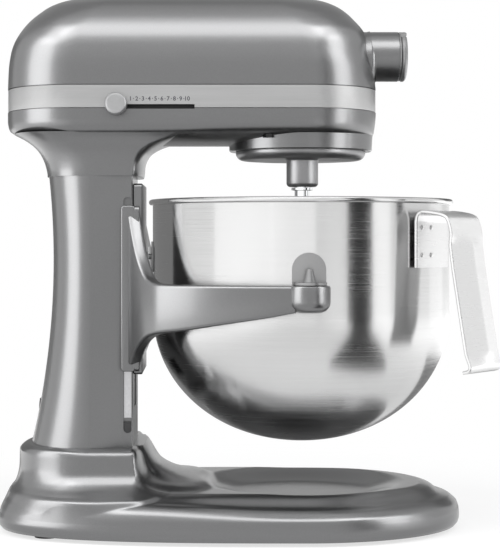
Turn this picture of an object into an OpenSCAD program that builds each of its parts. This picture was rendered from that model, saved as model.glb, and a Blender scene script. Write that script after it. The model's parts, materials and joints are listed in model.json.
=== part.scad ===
// Bowl-lift stand mixer. Millimetres; +X is the front, +Z is up, the floor is z = 0.
// The mixer is symmetrical about y = 0, apart from its levers, its handle and its gear train.

/* [Placing] */
// Gap between the bowl and the front of the carriage's plate
bowl_gap = 6.7; // [5:0.1:9]
// Distance from the origin to the back end of the base
base_back = 193; // [188:1:200]
// Distance from the bowl axis to the front end of the base
base_nose = 126; // [120:1:132]
// Number of points round each lofted casting
loft_points = 44; // [36:4:60]

/* [Base] */
// Half width of the base beside the bowl
base_half = 107; // [102:1:114]
// Height of the rolled side band of the base
band_top = 30; // [28:0.5:32]
// Height of the tray round the dish
tray_top = 35.5; // [34.5:0.5:37]
// Radius of the shallow dish under the bowl
dish_r = 84; // [76:1:88]
// Depth of the dish
dish_depth = 8; // [7:0.5:9]
// Wall of the castings
cast_wall = 5; // [4:0.25:6]
// Height of the shoulder on which the column stands
shoulder_z = 67.5; // [62:0.5:72]
// Half width of the shoulder
shoulder_half = 69; // [66:0.5:72]
// Distance from the origin to the back of the shoulder
shoulder_back = 176.5; // [175:0.5:180]
// Distance from the origin to the front of the shoulder
shoulder_front = 77.5; // [75:0.5:80]
// Half width of the saddle that runs from the column down to the tray
saddle_half = 40; // [34:1:46]
// Radius of each rubber foot
foot_r = 11; // [9:0.5:13]
// Height of the rubber feet under the casting
foot_h = 3; // [2.5:0.25:4]

/* [Column] */
// Height at which the column ends and the head's neck begins
column_top = 277; // [270:1:284]
// Distance from the origin to the front face of the column
column_front = 85; // [84:0.5:86]
// Distance from the origin to the back of the column at its waist
column_back = 150; // [147:1:154]
// Height of the waist at the back of the column
waist_z = 211; // [200:1:220]
// How far the back of the column runs out at its foot
column_flare = 17; // [13:1:20]
// Half width of the column at its top
column_half = 48; // [46.5:0.5:50]
// Half width of the straight front of the column, on which the carriage slides
rail_half = 46; // [44:0.5:46]
// How much wider the column is at its foot, each side
column_spread = 11; // [7:1:14]
// Front wall of the column
front_wall = 8; // [7:0.5:9]
// Half width of the slot in the column's front wall
lift_slot_half = 14; // [12:0.5:16]

/* [Head] */
// Height of the neck, from the column to the underside of the head
neck_h = 25; // [23:0.5:28]
// Height of the lower shell, from the underside of the head to the trim band
shell_h = 26; // [25:0.1:29]
// Height of the head's crown above the trim band
crown_h = 73.7; // [69:0.1:77]
// Distance from the origin to the back of the head
head_back = 186.5; // [184:0.5:189]
// Distance from the bowl axis to the front of the head
head_nose = 60; // [58:0.5:62]
// Half width of the head at its trim band
head_half = 62; // [60:0.5:64]
// Length of the rounded ends of the head in plan
head_round = 57; // [50:1:62]
// Height of the trim band
trim_h = 18.3; // [17.5:0.1:20]
// Thickness of the trim band
trim_t = 2; // [1.5:0.1:2.4]
// Wall of the head's two shells
head_wall = 4; // [3.4:0.1:4.4]
// Outer radius of the skirt round the planetary drive
skirt_r = 56.5; // [55.5:0.25:57]
// How far the skirt hangs below the head
skirt_drop = 4.4; // [3.4:0.1:6]

/* [Attachment hub] */
// Height of the hub axis above the trim band
hub_rise = 27.3; // [26:0.1:28]
// Outer radius of the hub
hub_r = 19.8; // [19:0.1:21]
// Bore radius of the hub's steel liner
hub_bore_r = 12.7; // [12.2:0.1:13]
// Wall of the hub's steel liner
hub_liner_t = 1.5; // [1.2:0.1:1.8]
// Distance from the bowl axis to the painted end of the hub
hub_reach = 78; // [76:0.5:80]
// Thickness of the hub's cap at its rim
hub_cap_t = 6; // [5.5:0.5:7]

/* [Planetary drive] */
// Offset of the beater shaft from the bowl axis
spindle_offset = 28; // [28:0.1:28]
// Outer radius of the planetary disc
planet_r = 51.6; // [50:0.2:52.5]
// How far the planetary disc stands out below the skirt
disc_drop = 7; // [6.8:0.1:9]
// Outer radius of the beater shaft's housing
spindle_house_r = 12.4; // [11.5:0.1:13]
// Length of the beater shaft's housing below the disc
house_drop = 21.9; // [19:0.1:24]
// Radius of the beater shaft
spindle_r = 6; // [5.6:0.1:6.4]
// Length of the beater shaft below its housing
spindle_len = 61.7; // [55:0.1:68]
// Radius of the centre shaft
centre_shaft_r = 7; // [6.5:0.1:7.5]

/* [Bowl] */
// Outer radius of the bowl's wall
bowl_r = 118; // [116:0.5:118.5]
// Upper end of the rolled rim
bowl_top = 259.2; // [257:0.2:262]
// Height at which the bowl's round bottom begins
bowl_bend = 172; // [168:1:176]
// Underside of the bowl
bowl_low = 68; // [67:0.5:72]
// Thickness of the bowl's sheet
bowl_t = 1.2; // [1:0.1:1.5]
// Radius of the rolled rim
rim_r = 2.2; // [1.8:0.1:2.6]
// Direction of the handle round the bowl, from the front
handle_turn = -37; // [-40:0.5:-32]
// Width of the handle strap
handle_w = 48; // [42:1:50]
// Thickness of the handle strap
handle_t = 2.6; // [2.2:0.1:3]

/* [Bowl lift] */
// How far the lever raises and lowers the bowl
lift_travel = 36; // [30:1:36]
// Turn of the lever between bowl up and bowl down
lever_turn = 110; // [110:1:110]
// Length of the lever from its shaft to the end of its grip
lever_len = 100; // [90:1:106]
// How far the lever's grip stands out from its hub
lever_out = 8; // [7:0.5:12]
// Radius of the lever's cross shaft
lever_shaft_r = 7; // [6:0.25:7.5]
// How far the lever's cross shaft lies below the top of the column
lever_drop = 87; // [83:1:91]
// Distance from the origin to the lever's cross shaft
lever_x = 108; // [107:0.5:110]
// Thickness of the yoke's arms
arm_t = 10; // [8:0.5:10.5]
// Upper face of the yoke's arms
arm_top = 194; // [192:0.5:196]
// Height of an arm at its boss
arm_tip_h = 19.8; // [18:0.2:22]
// Distance from the bowl's wall out to the yoke's locating pins
pin_out = 9; // [8.5:0.1:11]
// Radius of a locating pin
pin_r = 4.5; // [4:0.1:5]
// Clearance of sliding and turning parts
slide_gap = 0.3; // [0.2:0.05:0.4]

/* [Hidden] */

paint = [0.47, 0.48, 0.49];
steel = [0.78, 0.79, 0.8];
dark = [0.16, 0.16, 0.17];
brass = [0.75, 0.6, 0.3];
copper = [0.72, 0.42, 0.25];

pin_half = bowl_r + pin_out;
// Clearance of a pressed or pinned fit
fit = 0.03;
// Clearance of a running fit, radial
run = 0.05;
// Overlap of cutting tools beyond a face
eps = 1;
$fn = 64;

// Frame of the castings
plate_reach = 7.3;
axis_x = bowl_r + bowl_gap + plate_reach - column_front;
foot_bottom = foot_h;
neck_z = column_top;
lever_z = column_top - lever_drop;
head_under = column_top + neck_h;
trim_low = head_under + shell_h;
trim_top = trim_low + trim_h;
head_top = trim_top + crown_h;
skirt_z = head_under - skirt_drop;
hub_z = trim_top + hub_rise;
planet_z = skirt_z - disc_drop;
spindle_house_z = planet_z - house_drop;
spindle_end = spindle_house_z - spindle_len;
base_nose_x = axis_x + base_nose;
head_nose_x = axis_x + head_nose;
spindle_y = -spindle_offset;
motor_z = hub_z - 1.6;

// --- Rings and lofts -------------------------------------------------------------------

function smooth(t) = let (u = min(1, max(0, t))) u * u * (3 - 2 * u);
function power(v, p) = sign(v) * pow(abs(v), p);

// A closed ring at height z: rounded ends of lengths b and f, straight sides between them.
// Powers pb and pf square up the back and the front end.
function ring(back, front, half, b, f, z, pb = 2, pf = 2) = [
    for (i = [0 : loft_points - 1])
        let (a = -90 + 360 * i / loft_points, c = cos(a), s = sin(a))
        c >= 0
            ? [front - f + f * power(c, 2 / pf), half * power(s, 2 / pf), z]
            : [back + b + b * power(c, 2 / pb), half * power(s, 2 / pb), z]];

// A solid through rings of equal length, each the next section of the last.
module skin(rings) {
    n = len(rings[0]);
    last = len(rings) - 1;
    points = [for (r = rings) each r];
    sides = [for (j = [0 : last - 1], i = [0 : n - 1])
        let (k = (i + 1) % n, a = j * n, b = a + n)
        each [[a + i, b + k, a + k], [a + i, b + i, b + k]]];
    low = [[for (i = [0 : n - 1]) i]];
    high = [[for (i = [n - 1 : -1 : 0]) last * n + i]];
    polyhedron(points, concat(low, sides, high), convexity = 6);
}

// A solid through rings whose ends are closed by fans to the points low and high.
module fanned(rings, low, high) {
    n = len(rings[0]);
    last = len(rings) - 1;
    m = n * len(rings);
    sides = [for (j = [0 : last - 1], i = [0 : n - 1])
        let (k = (i + 1) % n, a = j * n, b = a + n)
        each [[a + i, b + k, a + k], [a + i, b + i, b + k]]];
    caps = [for (i = [0 : n - 1])
        let (k = (i + 1) % n)
        each [[m, i, k], [m + 1, last * n + k, last * n + i]]];
    polyhedron(concat([for (r = rings) each r], [low, high]), concat(sides, caps),
        convexity = 6);
}

module both_sides() {
    children();
    mirror([0, 1, 0]) children();
}

module tube(outer, inner, length) {
    difference() {
        cylinder(r = outer, h = length);
        translate([0, 0, -eps]) cylinder(r = inner, h = length + 2 * eps);
    }
}

// A hexagon screw standing on z = 0, its thread pointing down.
module hex_screw(radius, length, head_r, head_h) {
    cylinder(r = head_r, h = head_h, $fn = 6);
    translate([0, 0, -length]) cylinder(r = radius, h = length + head_h / 2);
}

// --- Base ------------------------------------------------------------------------------

// Outline of the base, drawn in by inset: an elliptic nose and a squarer back.
function base_ring(inset, z) = [
    for (i = [0 : loft_points - 1])
        let (a = -90 + 360 * i / loft_points, c = cos(a), s = sin(a))
        c >= 0
            ? [axis_x + (base_nose - inset) * c, (base_half - inset) * s, z]
            : [axis_x + (axis_x + base_back - inset) * power(c, 2 / 3),
                (base_half - inset) * power(s, 2 / 3), z]];

module base_plate() {
    skin([base_ring(3, foot_bottom), base_ring(0.8, foot_bottom + 3), base_ring(0, band_top * 0.42),
        base_ring(0.4, band_top * 0.66), base_ring(2, band_top * 0.86), base_ring(5, band_top * 0.965),
        base_ring(9, band_top), base_ring(15, band_top + 0.6), base_ring(23, tray_top - 1.6),
        base_ring(30, tray_top)]);
}

// The shoulder under the column: each row is height as a share of its full height, then
// how far its back, its front and its sides lie outside the shoulder's upper outline.
shoulder_rows = [[0.2, 15, 34, 20], [0.4, 12.3, 31, 17], [0.49, 8.2, 25, 13], [0.56, 5, 18, 8],
    [0.64, 2.2, 11, 4], [0.73, 0.4, 6.5, 1.4], [0.84, 0, 3, 0.5], [0.92, 0, 1.2, 0],
    [0.97, -2.6, -0.8, -2], [1, -7, -5, -7]];

module shoulder() {
    skin([for (r = shoulder_rows)
        ring(-shoulder_back - r[1], -shoulder_front + r[2], shoulder_half + r[3],
            58 + r[1] * 3, 7 + r[2], shoulder_z * r[0], 2.3, 2.2)]);
}

// The saddle falls from the shoulder to the tray in a hollow curve.
saddle_rows = [[0.3, 54, 14], [0.53, 50, 10], [0.57, 38, 5], [0.62, 28, 3], [0.68, 20, 1.5], [0.76, 13, 0.6],
    [0.86, 8.5, 0], [0.96, 4.5, -1], [0.998, 1, -4]];

module saddle() {
    skin([for (r = saddle_rows)
        ring(-column_front - 12, -shoulder_front + r[1], saddle_half + r[2],
            8, 6 + r[1] * 0.4, shoulder_z * r[0], 3, 2.6)]);
}

dish_flat = dish_r * 0.7;
module dish_cutter() {
    translate([axis_x, 0, tray_top - dish_depth])
        rotate_extrude()
            polygon(concat([[0, 0], [dish_flat, 0]],
                [for (k = [1 : 6]) let (t = k / 6)
                    [dish_flat + (dish_r - dish_flat) * t, dish_depth * smooth(t)]],
                [[dish_r, dish_depth + eps], [0, dish_depth + eps]]));
}

foot_spots = [for (s = [1, -1]) each [[axis_x + base_nose - 48, s * (base_half - 59)],
    [-base_back + 43, s * (base_half - 49)]]];
bolt_spots = [for (s = [1, -1]) each [[-column_front - 53, s * (column_half - 20)],
    [-column_front - 19, s * (column_half - 14)]]];
bolt_r = 4;
bolt_seat_z = shoulder_z - 12.6;

module base_casting() color(paint) difference() {
    union() {
        base_plate();
        shoulder();
        saddle();
    }
    // Open underside with cross ribs
    difference() {
        union() {
            skin([base_ring(cast_wall + 3, foot_bottom - eps), base_ring(cast_wall + 2, band_top - 11),
                base_ring(cast_wall + 10, band_top - cast_wall - 1)]);
            skin([for (r = [[0.2, 8], [0.42, 1], [0.62, -3], [0.82, -4.5]])
                ring(-shoulder_back - r[1] + cast_wall, -shoulder_front + r[1] - cast_wall,
                    shoulder_half + r[1] - cast_wall, 54, 14, shoulder_z * r[0], 2.3, 2.2)]);
        }
        for (x = [-60, 0, axis_x + 60]) translate([x - 2, -base_half, foot_bottom])
            cube([4, 2 * base_half, band_top]);
        translate([-90, -2, foot_bottom]) cube([base_nose_x + 60, 4, band_top]);
        for (p = foot_spots) translate([p[0], p[1], foot_bottom])
            cylinder(r = foot_r + 2, h = band_top);
        for (p = bolt_spots) translate([p[0], p[1], bolt_seat_z])
            cylinder(r = bolt_r + 7, h = shoulder_z);
    }
    dish_cutter();
    for (p = bolt_spots) translate([p[0], p[1], bolt_seat_z - eps])
        cylinder(r = bolt_r + fit, h = shoulder_z);
    for (p = foot_spots) translate([p[0], p[1], foot_bottom - eps])
        cylinder(r = foot_r * 0.5 + fit, h = 9 + eps);
}

module base_feet() color(dark) for (p = foot_spots) translate([p[0], p[1], 0]) {
    cylinder(r1 = foot_r - 1.5, r2 = foot_r, h = foot_h);
    translate([0, 0, foot_h - 0.01]) cylinder(r = foot_r * 0.5, h = 8);
}

// --- Column ----------------------------------------------------------------------------

function below_waist(z) = max(0, (waist_z - z) / (waist_z - shoulder_z));
function above_waist(z) = max(0, (z - waist_z) / (column_top - waist_z));
function column_rear(z) = column_back + column_flare * pow(below_waist(z), 2)
    + 3.5 * pow(above_waist(z), 2);
function column_side(z) = column_half
    + column_spread * pow((column_top - z) / (column_top - shoulder_z), 1.5);

// Outline of the column: a rounded back, flat sides and a straight front rail.
column_turn = 117;
rail_depth = 11;
function column_ring(z, inset = 0, front_inset = 0) = let (
    n = loft_points - 4, side = column_side(z) - inset, rear = column_rear(z) - inset,
    b = rear - column_turn, rail = rail_half - inset)
    concat([[-column_front - front_inset, -rail, z], [-column_front - front_inset, rail, z],
        [-column_front - rail_depth - inset / 2, rail, z]],
        [for (i = [0 : n]) let (a = 90 + 180 * i / n)
            [-column_turn + b * power(cos(a), 0.95), side * power(sin(a), 0.95), z]],
        [[-column_front - rail_depth - inset / 2, -rail, z]]);

groove_low = shoulder_z + 10.5;
groove_high = column_top - 16.5;
groove_front = column_front + 0.6;
groove_w = 6.6;
groove_depth = 4;
lift_slot_low = shoulder_z + 27.5;
lift_slot_high = groove_high + 2;

module side_groove(extra = 0) {
    x = -groove_front - groove_w;
    translate([x, rail_half - groove_depth, groove_low + groove_w / 2])
        cube([groove_w, groove_depth + eps, groove_high - groove_low - groove_w]);
    for (z = [groove_low, groove_high - groove_w])
        translate([x + groove_w / 2, rail_half - groove_depth, z + groove_w / 2])
            rotate([-90, 0, 0]) cylinder(r = groove_w / 2, h = groove_depth + eps);
}

lever_boss_r = lever_shaft_r + 7;
lever_side = column_side(lever_z);
lever_bush_t = 2;
boss_in = 31;
gland_z = shoulder_z + 24.5;
gland_r = 9;

module column_casting() color(paint) difference() {
    union() {
        difference() {
            skin([for (k = [0 : 11]) column_ring(shoulder_z + (column_top - shoulder_z) * k / 11)]);
            skin([for (k = [0 : 8])
                column_ring(shoulder_z + 9 + (column_top - shoulder_z - 17) * k / 8,
                    cast_wall, front_wall)]);
        }
        // Boss that carries the lever's cross shaft
        translate([-lever_x, boss_in, lever_z]) rotate([-90, 0, 0])
            cylinder(r = lever_boss_r, h = lever_side - boss_in + 0.8);
    }
    both_sides() side_groove();
    // Slot for the carriage's neck
    translate([-column_front - front_wall - eps, -lift_slot_half, lift_slot_low])
        cube([front_wall + 2 * eps, 2 * lift_slot_half, lift_slot_high - lift_slot_low]);
    translate([-lever_x, boss_in - eps, lever_z]) rotate([-90, 0, 0])
        cylinder(r = lever_shaft_r + lever_bush_t + fit, h = lever_side);
    for (p = bolt_spots) translate([p[0], p[1], shoulder_z - eps])
        cylinder(r = bolt_r + fit, h = 14);
    for (p = neck_spots) translate([p[0], p[1], column_top - 9])
        cylinder(r = bolt_r + fit, h = 14);
    translate([-column_rear(gland_z) - eps, 0, gland_z]) rotate([0, 90, 0])
        cylinder(r = gland_r + fit, h = 14);
}

neck_spots = [for (s = [1, -1]) each [[-column_front - 53, s * (column_half - 29)],
    [-column_front - 16, s * (column_half - 19)]]];

module column_bolts() color(steel) for (p = bolt_spots)
    translate([p[0], p[1], bolt_seat_z]) rotate([180, 0, 0]) hex_screw(bolt_r, 20, 6.5, 5);

module neck_bolts() color(steel) for (p = neck_spots)
    translate([p[0], p[1], column_top - 8]) rotate([180, 0, 0]) hex_screw(bolt_r, 18, 6.5, 5);

// Low-friction strips in the bottom of the side grooves
strip_t = 1;
stop_h = 5;
module guide_strips() color(steel) both_sides()
    translate([-groove_front - groove_w + 0.3, rail_half - groove_depth,
        groove_low + groove_w + stop_h])
        cube([groove_w - 0.6, strip_t, groove_high - groove_low - 2 * groove_w - stop_h]);

module groove_stops() color(dark) both_sides()
    translate([-groove_front - groove_w / 2, rail_half - groove_depth,
        groove_low + groove_w / 2]) {
        rotate([-90, 0, 0]) cylinder(r = groove_w / 2 - fit, h = groove_depth - 0.6);
        translate([-groove_w / 2 + fit, 0, 0])
            cube([groove_w - 2 * fit, groove_depth - 0.6, stop_h]);
    }

module lead_gland() color(dark) translate([-column_rear(gland_z) + 0.6, 0, gland_z])
    rotate([0, 90, 0]) difference() {
        cylinder(r = gland_r, h = 9);
        translate([0, 0, -eps]) cylinder(r = gland_r * 0.42, h = 9 + 2 * eps);
    }

module lift_bush() color(brass) translate([-lever_x, boss_in, lever_z]) rotate([-90, 0, 0])
    tube(lever_shaft_r + lever_bush_t, lever_shaft_r + run, lever_side - boss_in + 0.8);

// --- Head shells -----------------------------------------------------------------------

function head_ring(z, back, nose, half, inset = 0) =
    ring(-head_back + back + inset, head_nose_x - nose - inset, head_half - half - inset,
        head_round - back * 0.2 - inset, head_round - nose * 0.2 - inset, z);

// Rows of the lower shell: height above the underside, then how far its back, its nose and
// its sides lie inside the trim band's outline.
lower_rows = [[0, 34, 20, 58], [1, 27, 14, 44], [2.2, 21, 10, 30], [4.5, 15, 6, 15],
    [7.3, 9.5, 3.8, 5.5], [9, 5.5, 1.9, 2.8], [11.3, 1.9, 1.5, 1.2], [14, 0.8, 1, 0.4],
    [19, 0, 0.4, 0]];
// Rows of the upper shell: share of its height, then the same three insets.
seam = 0.05;
crown = head_top - trim_top - seam;
upper_rows = [[0, 0, 0, 0], [0.22, 0.7, 1.9, 0.6], [0.4, 2.6, 5.1, 2.2], [0.5, 5, 6.3, 3.8],
    [0.6, 9.1, 8.4, 6.6], [0.68, 13.4, 12.2, 10], [0.74, 17.4, 16.2, 13.2], [0.82, 24.4, 22, 18.6],
    [0.9, 33, 30.3, 26], [0.96, 44, 41, 35.5], [0.99, 54, 52, 45], [1, 62, 62, 55]];

neck_rows = [[1, 1.2, 8.4, 0], [9.5, 2.9, 9.2, 0.4], [18, 6.7, 13, 1.5], [24, 11.8, 21.5, 3.4],
    [29, 18.6, 35, 6.3], [33.5, 27.2, 47, 10]];
neck_back = 153.5;
neck_front = 86.5;

module neck(inset = 0) {
    skin(concat(
        [ring(-neck_back - 1.2 + inset, -neck_front + 8 - inset, column_half - inset, 36, 10,
            neck_z + (inset > 0 ? 8 : 0), 2.3, 3)],
        [for (r = neck_rows) if (inset == 0 || r[0] > 9)
            ring(-neck_back - r[1] + inset, -neck_front + r[2] - inset,
                column_half + r[3] - inset, 36, 10, neck_z + r[0], 2.3, 3)]));
}

slot_low = trim_low - 0.6;
slot_high = trim_low + 2.95;
knob_x = -96.7;
knob_travel = 54;
knob_r = 8.3;
seat_t = trim_t + fit;
floor_z = head_under + 16;
bearing_od = 16;
bearing_h = 9;
bearing_z = floor_z - 5;

module head_lower() color(paint) difference() {
    union() {
        difference() {
            union() {
                skin(concat([for (r = lower_rows) head_ring(head_under + r[0], r[1], r[2], r[3])],
                    [head_ring(trim_low, 0, 0, 0), head_ring(trim_low + 0.01, 0, 0, 0, seat_t),
                        head_ring(trim_top, 0, 0, 0, seat_t)]));
                neck();
            }
            skin([head_ring(head_under + 6, 20, 14, 20, 4), head_ring(head_under + 12, 4, 4, 6, 4),
                head_ring(trim_low - 2, 0.6, 0.6, 0.8, seat_t + 2.6),
                head_ring(trim_top + eps, 0, 0, 0, seat_t + 2.6)]);
            neck(cast_wall);
        }
        translate([axis_x, 0, head_under + 2])
            cylinder(r = skirt_r + 1.5, h = floor_z - head_under - 2);
        // Skirt round the planetary drive
        translate([axis_x, 0, skirt_z]) cylinder(r1 = skirt_r, r2 = skirt_r + 0.9, h = 12);
        translate([axis_x, 0, floor_z - eps]) cylinder(r = 24, h = 7 + eps);
        for (p = cover_spots) translate([p[0], p[1], head_under + 7.2])
            cylinder(r = 5.5, h = joint_z - head_under - 7.2, $fn = 32);
        inner_seats();
    }
    translate([axis_x, 0, skirt_z - eps]) cylinder(r = ring_gear_r + fit, h = 14.4 + eps);
    translate([axis_x, 0, bearing_z]) cylinder(r = bearing_od + fit, h = 30);
    translate([axis_x, 0, skirt_z]) cylinder(r = centre_shaft_r + 3, h = 30);
    speed_slot();
    for (p = neck_spots) translate([p[0], p[1], neck_z - eps])
        cylinder(r = bolt_r + fit, h = 12 + eps);
    for (p = cover_spots) translate([p[0], p[1], head_under])
        cylinder(r = 2.5 + fit, h = 60);
    for (p = cover_spots) translate([p[0], p[1], head_under - 3])
        cylinder(r = 5.2, h = 10);
}

// Seats of the brush bracket's legs, and slotted ones for the control board's lower edge
seat_h = 12;
board_half = 36;
board_t = 1.6;
module inner_seats() difference() {
    intersection() {
        both_sides() {
            translate([board_x - 3, board_half - 5, head_under + 6]) cube([7.6, 14, 14]);
            translate([rear_bearing_x, holder_half - 8, head_under + 5])
                cube([motor_bearing_t, 14, seat_h - 5]);
        }
        skin([for (r = lower_rows) head_ring(head_under + r[0], r[1], r[2], r[3], 2)]);
    }
    translate([board_x, -board_half, head_under + seat_h]) cube([board_t, 2 * board_half, 20]);
}

// Slot through which the speed lever's stem passes
module speed_slot() translate([knob_x - 4, -head_half - eps, slot_low])
    cube([knob_travel + 9.6, 14, slot_high - slot_low]);

cover_spots = [for (s = [1, -1]) each [[-head_back + 36.5, s * (head_half - 22), s * 14.5],
    [axis_x - 27, s * (head_half - 11.4), s * 9.5]]];
joint_z = trim_top - 14;

module head_cover() color(paint) difference() {
    union() {
        difference() {
            skin([for (r = upper_rows) head_ring(trim_top + seam + crown * r[0], r[1], r[2],
                r[3])]);
            skin([for (r = upper_rows)
                head_ring(trim_top - eps + (crown - head_wall + eps) * r[0], r[1], r[2],
                    r[3], head_wall)]);
        }
        for (p = cover_spots) translate([p[0], p[1], joint_z + seam]) {
            cylinder(r = 5.5, h = 32, $fn = 32);
            // Rib that ties the boss to the shell's side
            translate([-1.5, min(0, p[2]), 18]) cube([3, abs(p[2]), 14]);
        }
        // Hub boss with the fillet that joins it to the head
        translate([head_nose_x - 16, 0, hub_z]) rotate([0, 90, 0])
            cylinder(r = hub_r, h = hub_reach - head_nose + 16);
        translate([head_nose_x - 16, 0, hub_z - 3.5]) rotate([0, 90, 0]) rotate_extrude()
            polygon(concat([[0, 0], [hub_r + 2, 0]],
                [for (k = [0 : 6]) let (a = 90 * k / 6)
                    [hub_r + 4 - 4 * sin(a), 11 + 4 - 4 * cos(a)]], [[0, 15]]));
    }
    translate([axis_x, 0, hub_z]) rotate([0, 90, 0])
        cylinder(r = hub_bore_r + hub_liner_t + fit, h = 200);
    translate([knob_screw_x, 0, hub_z]) rotate([-90, 0, 0])
        cylinder(r = knob_screw_r + run, h = 60);
    for (p = cover_spots) translate([p[0], p[1], joint_z - eps]) cylinder(r = 2.5 + fit, h = 26);
}

module trim_band() color([0.72, 0.73, 0.74]) difference() {
    skin([head_ring(trim_low + 0.02, 0, 0, 0, 0.3), head_ring(trim_top - 0.02, 0, 0, 0, 0.3)]);
    skin([head_ring(trim_low - eps, 0, 0, 0, trim_t), head_ring(trim_top + eps, 0, 0, 0, trim_t)]);
    speed_slot();
}

module cover_screws() color(steel) for (p = cover_spots)
    translate([p[0], p[1], head_under + 7]) rotate([180, 0, 0]) hex_screw(2.5, 46, 4.5, 3);

// --- Attachment hub --------------------------------------------------------------------

hub_end = axis_x + hub_reach;
hub_shaft_end = axis_x + 46;
liner_back = hub_shaft_end + 1;
hub_flange_t = 1;
cap_hinge_r = 2.2;
cap_hinge_x = hub_end + hub_flange_t + 3;
cap_hinge_z = hub_z + hub_r - cap_hinge_r - 0.5;
cap_knuckle_half = 5;
cap_pin_r = 1;
knob_screw_x = hub_end - 14;
knob_screw_r = 4;

// Steel liner of the hub, its end flange and the fixed lugs and pin of the cap's hinge
module hub_liner() color(steel) difference() {
    union() {
        translate([liner_back, 0, hub_z]) rotate([0, 90, 0])
            cylinder(r = hub_bore_r + hub_liner_t, h = hub_end - liner_back);
        translate([hub_end, 0, hub_z]) rotate([0, 90, 0])
            cylinder(r = hub_r - 0.4, h = hub_flange_t);
        intersection() {
            both_sides() translate([hub_end, cap_knuckle_half + slide_gap, cap_hinge_z]) {
                translate([0, 0, -cap_hinge_r])
                    cube([cap_hinge_x - hub_end, 3, 2 * cap_hinge_r]);
                translate([cap_hinge_x - hub_end, 0, 0]) rotate([-90, 0, 0])
                    cylinder(r = cap_hinge_r, h = 3);
            }
            translate([hub_end, 0, hub_z]) rotate([0, 90, 0]) cylinder(r = hub_r, h = hub_cap_t);
        }
        translate([cap_hinge_x, -cap_knuckle_half - 2, cap_hinge_z]) rotate([-90, 0, 0])
            cylinder(r = cap_pin_r, h = 2 * cap_knuckle_half + 4);
    }
    translate([liner_back - eps, 0, hub_z]) rotate([0, 90, 0]) cylinder(r = hub_bore_r, h = 60);
    translate([knob_screw_x, 0, hub_z]) rotate([-90, 0, 0])
        cylinder(r = knob_screw_r + run, h = 60);
}

module knob_screw() color(steel) translate([knob_screw_x, 0, hub_z]) rotate([-90, 0, 0])
    translate([0, 0, hub_bore_r + 0.3]) cylinder(r = knob_screw_r, h = hub_r - hub_bore_r + 6);

module attachment_knob() color(dark) translate([knob_screw_x, hub_r + 1, hub_z])
    rotate([-90, 0, 0]) difference() {
        union() {
            cylinder(r = 6, h = 4);
            translate([0, 0, 4]) intersection() {
                cylinder(r = 11.4, h = 14);
                union() {
                    cylinder(r = 9.9, h = 14);
                    for (k = [0 : 7]) rotate(k * 45) translate([9, 0, 0])
                        cylinder(r = 2.4, h = 14, $fn = 24);
                }
            }
        }
        translate([0, 0, -eps]) cylinder(r = knob_screw_r + fit, h = 6 + eps);
    }

// Cap that closes the hub: a domed disc, cut away at the top for its hinge knuckle
module hub_cap() color([0.85, 0.86, 0.87]) difference() {
    union() {
        difference() {
            translate([hub_end + hub_flange_t + slide_gap, 0, hub_z]) rotate([0, 90, 0])
                rotate_extrude() polygon([[0, 0], [hub_r - 0.9, 0], [hub_r, 0.9],
                    [hub_r, hub_cap_t - hub_flange_t - 2], [hub_r - 1.6, hub_cap_t - hub_flange_t - 0.6],
                    [hub_r - 4, hub_cap_t - hub_flange_t - 0.1], [0, hub_cap_t - hub_flange_t + 0.6]]);
            translate([hub_end, -hub_r, cap_hinge_z - cap_hinge_r - slide_gap])
                cube([20, 2 * hub_r, 20]);
        }
        translate([cap_hinge_x, -cap_knuckle_half, cap_hinge_z]) rotate([-90, 0, 0])
            cylinder(r = cap_hinge_r - 0.1, h = 2 * cap_knuckle_half);
        translate([cap_hinge_x - 0.6, -cap_knuckle_half, cap_hinge_z - cap_hinge_r - 1])
            cube([cap_hinge_r + 0.4, 2 * cap_knuckle_half, cap_hinge_r]);
    }
    translate([cap_hinge_x, -hub_r, cap_hinge_z]) rotate([-90, 0, 0])
        cylinder(r = cap_pin_r + run, h = 2 * hub_r);
}

// --- Gears -----------------------------------------------------------------------------

pressure = 20;
deg = 180 / PI;

// Half of a tooth's angle at radius rho, in degrees; thin is taken off the tooth.
function tooth_half(n, m, rho, thin) = let (r = m * n / 2, base = r * cos(pressure),
    a = rho <= base ? 0 : acos(base / rho))
    90 / n - thin / 2 / r * deg + (tan(pressure) * deg - pressure) - (tan(a) * deg - a);

// Outline of a spur gear with a tooth centred at the angle turn.
function gear_outline(n, m, thin, add, ded, turn) = let (r = m * n / 2,
    rows = [r - ded, r - ded * 0.4, r + add * 0.35, r + add])
    [for (k = [0 : n - 1]) let (c = turn + 360 * k / n) each concat(
        [for (rho = rows) let (a = c - tooth_half(n, m, rho, thin)) [rho * cos(a), rho * sin(a)]],
        [for (i = [3 : -1 : 0]) let (rho = rows[i], a = c + tooth_half(n, m, rho, thin))
            [rho * cos(a), rho * sin(a)]])];

// One end ring of a bevel gear whose apex is the origin and whose axis points to +Z; its
// pitch circle of radius r lies at height -h. share scales the ring towards the apex.
function bevel_ring(n, r, h, add, ded, thin, share, turn) = let (
    cone = atan(r / h), step = 360 / n, w = 90 / n - thin / 2 / r * deg)
    [for (k = [0 : n - 1],
        q = [[-ded, -w * 1.45], [add, -w * 0.55], [add, w * 0.55], [-ded, w * 1.45]])
        let (a = turn + step * k + q[1], rho = r + q[0] * cos(cone))
        [share * rho * cos(a), share * rho * sin(a), share * (-h + q[0] * sin(cone))]];

module bevel_gear(n, r, h, add, ded, thin, share, turn) {
    outer = bevel_ring(n, r, h, add, ded, thin, 1, turn);
    inner = bevel_ring(n, r, h, add, ded, thin, share, turn);
    fanned([outer, inner], [0, 0, -h], [0, 0, -h * share]);
}

// --- Gear train ------------------------------------------------------------------------

ring_m = 1.4;
planet_teeth = 13;
ring_teeth = planet_teeth + round(2 * spindle_offset / ring_m);
ring_gear_r = skirt_r - 5;
ring_gear_z = skirt_z + 3.4;
ring_gear_h = 11;

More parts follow.
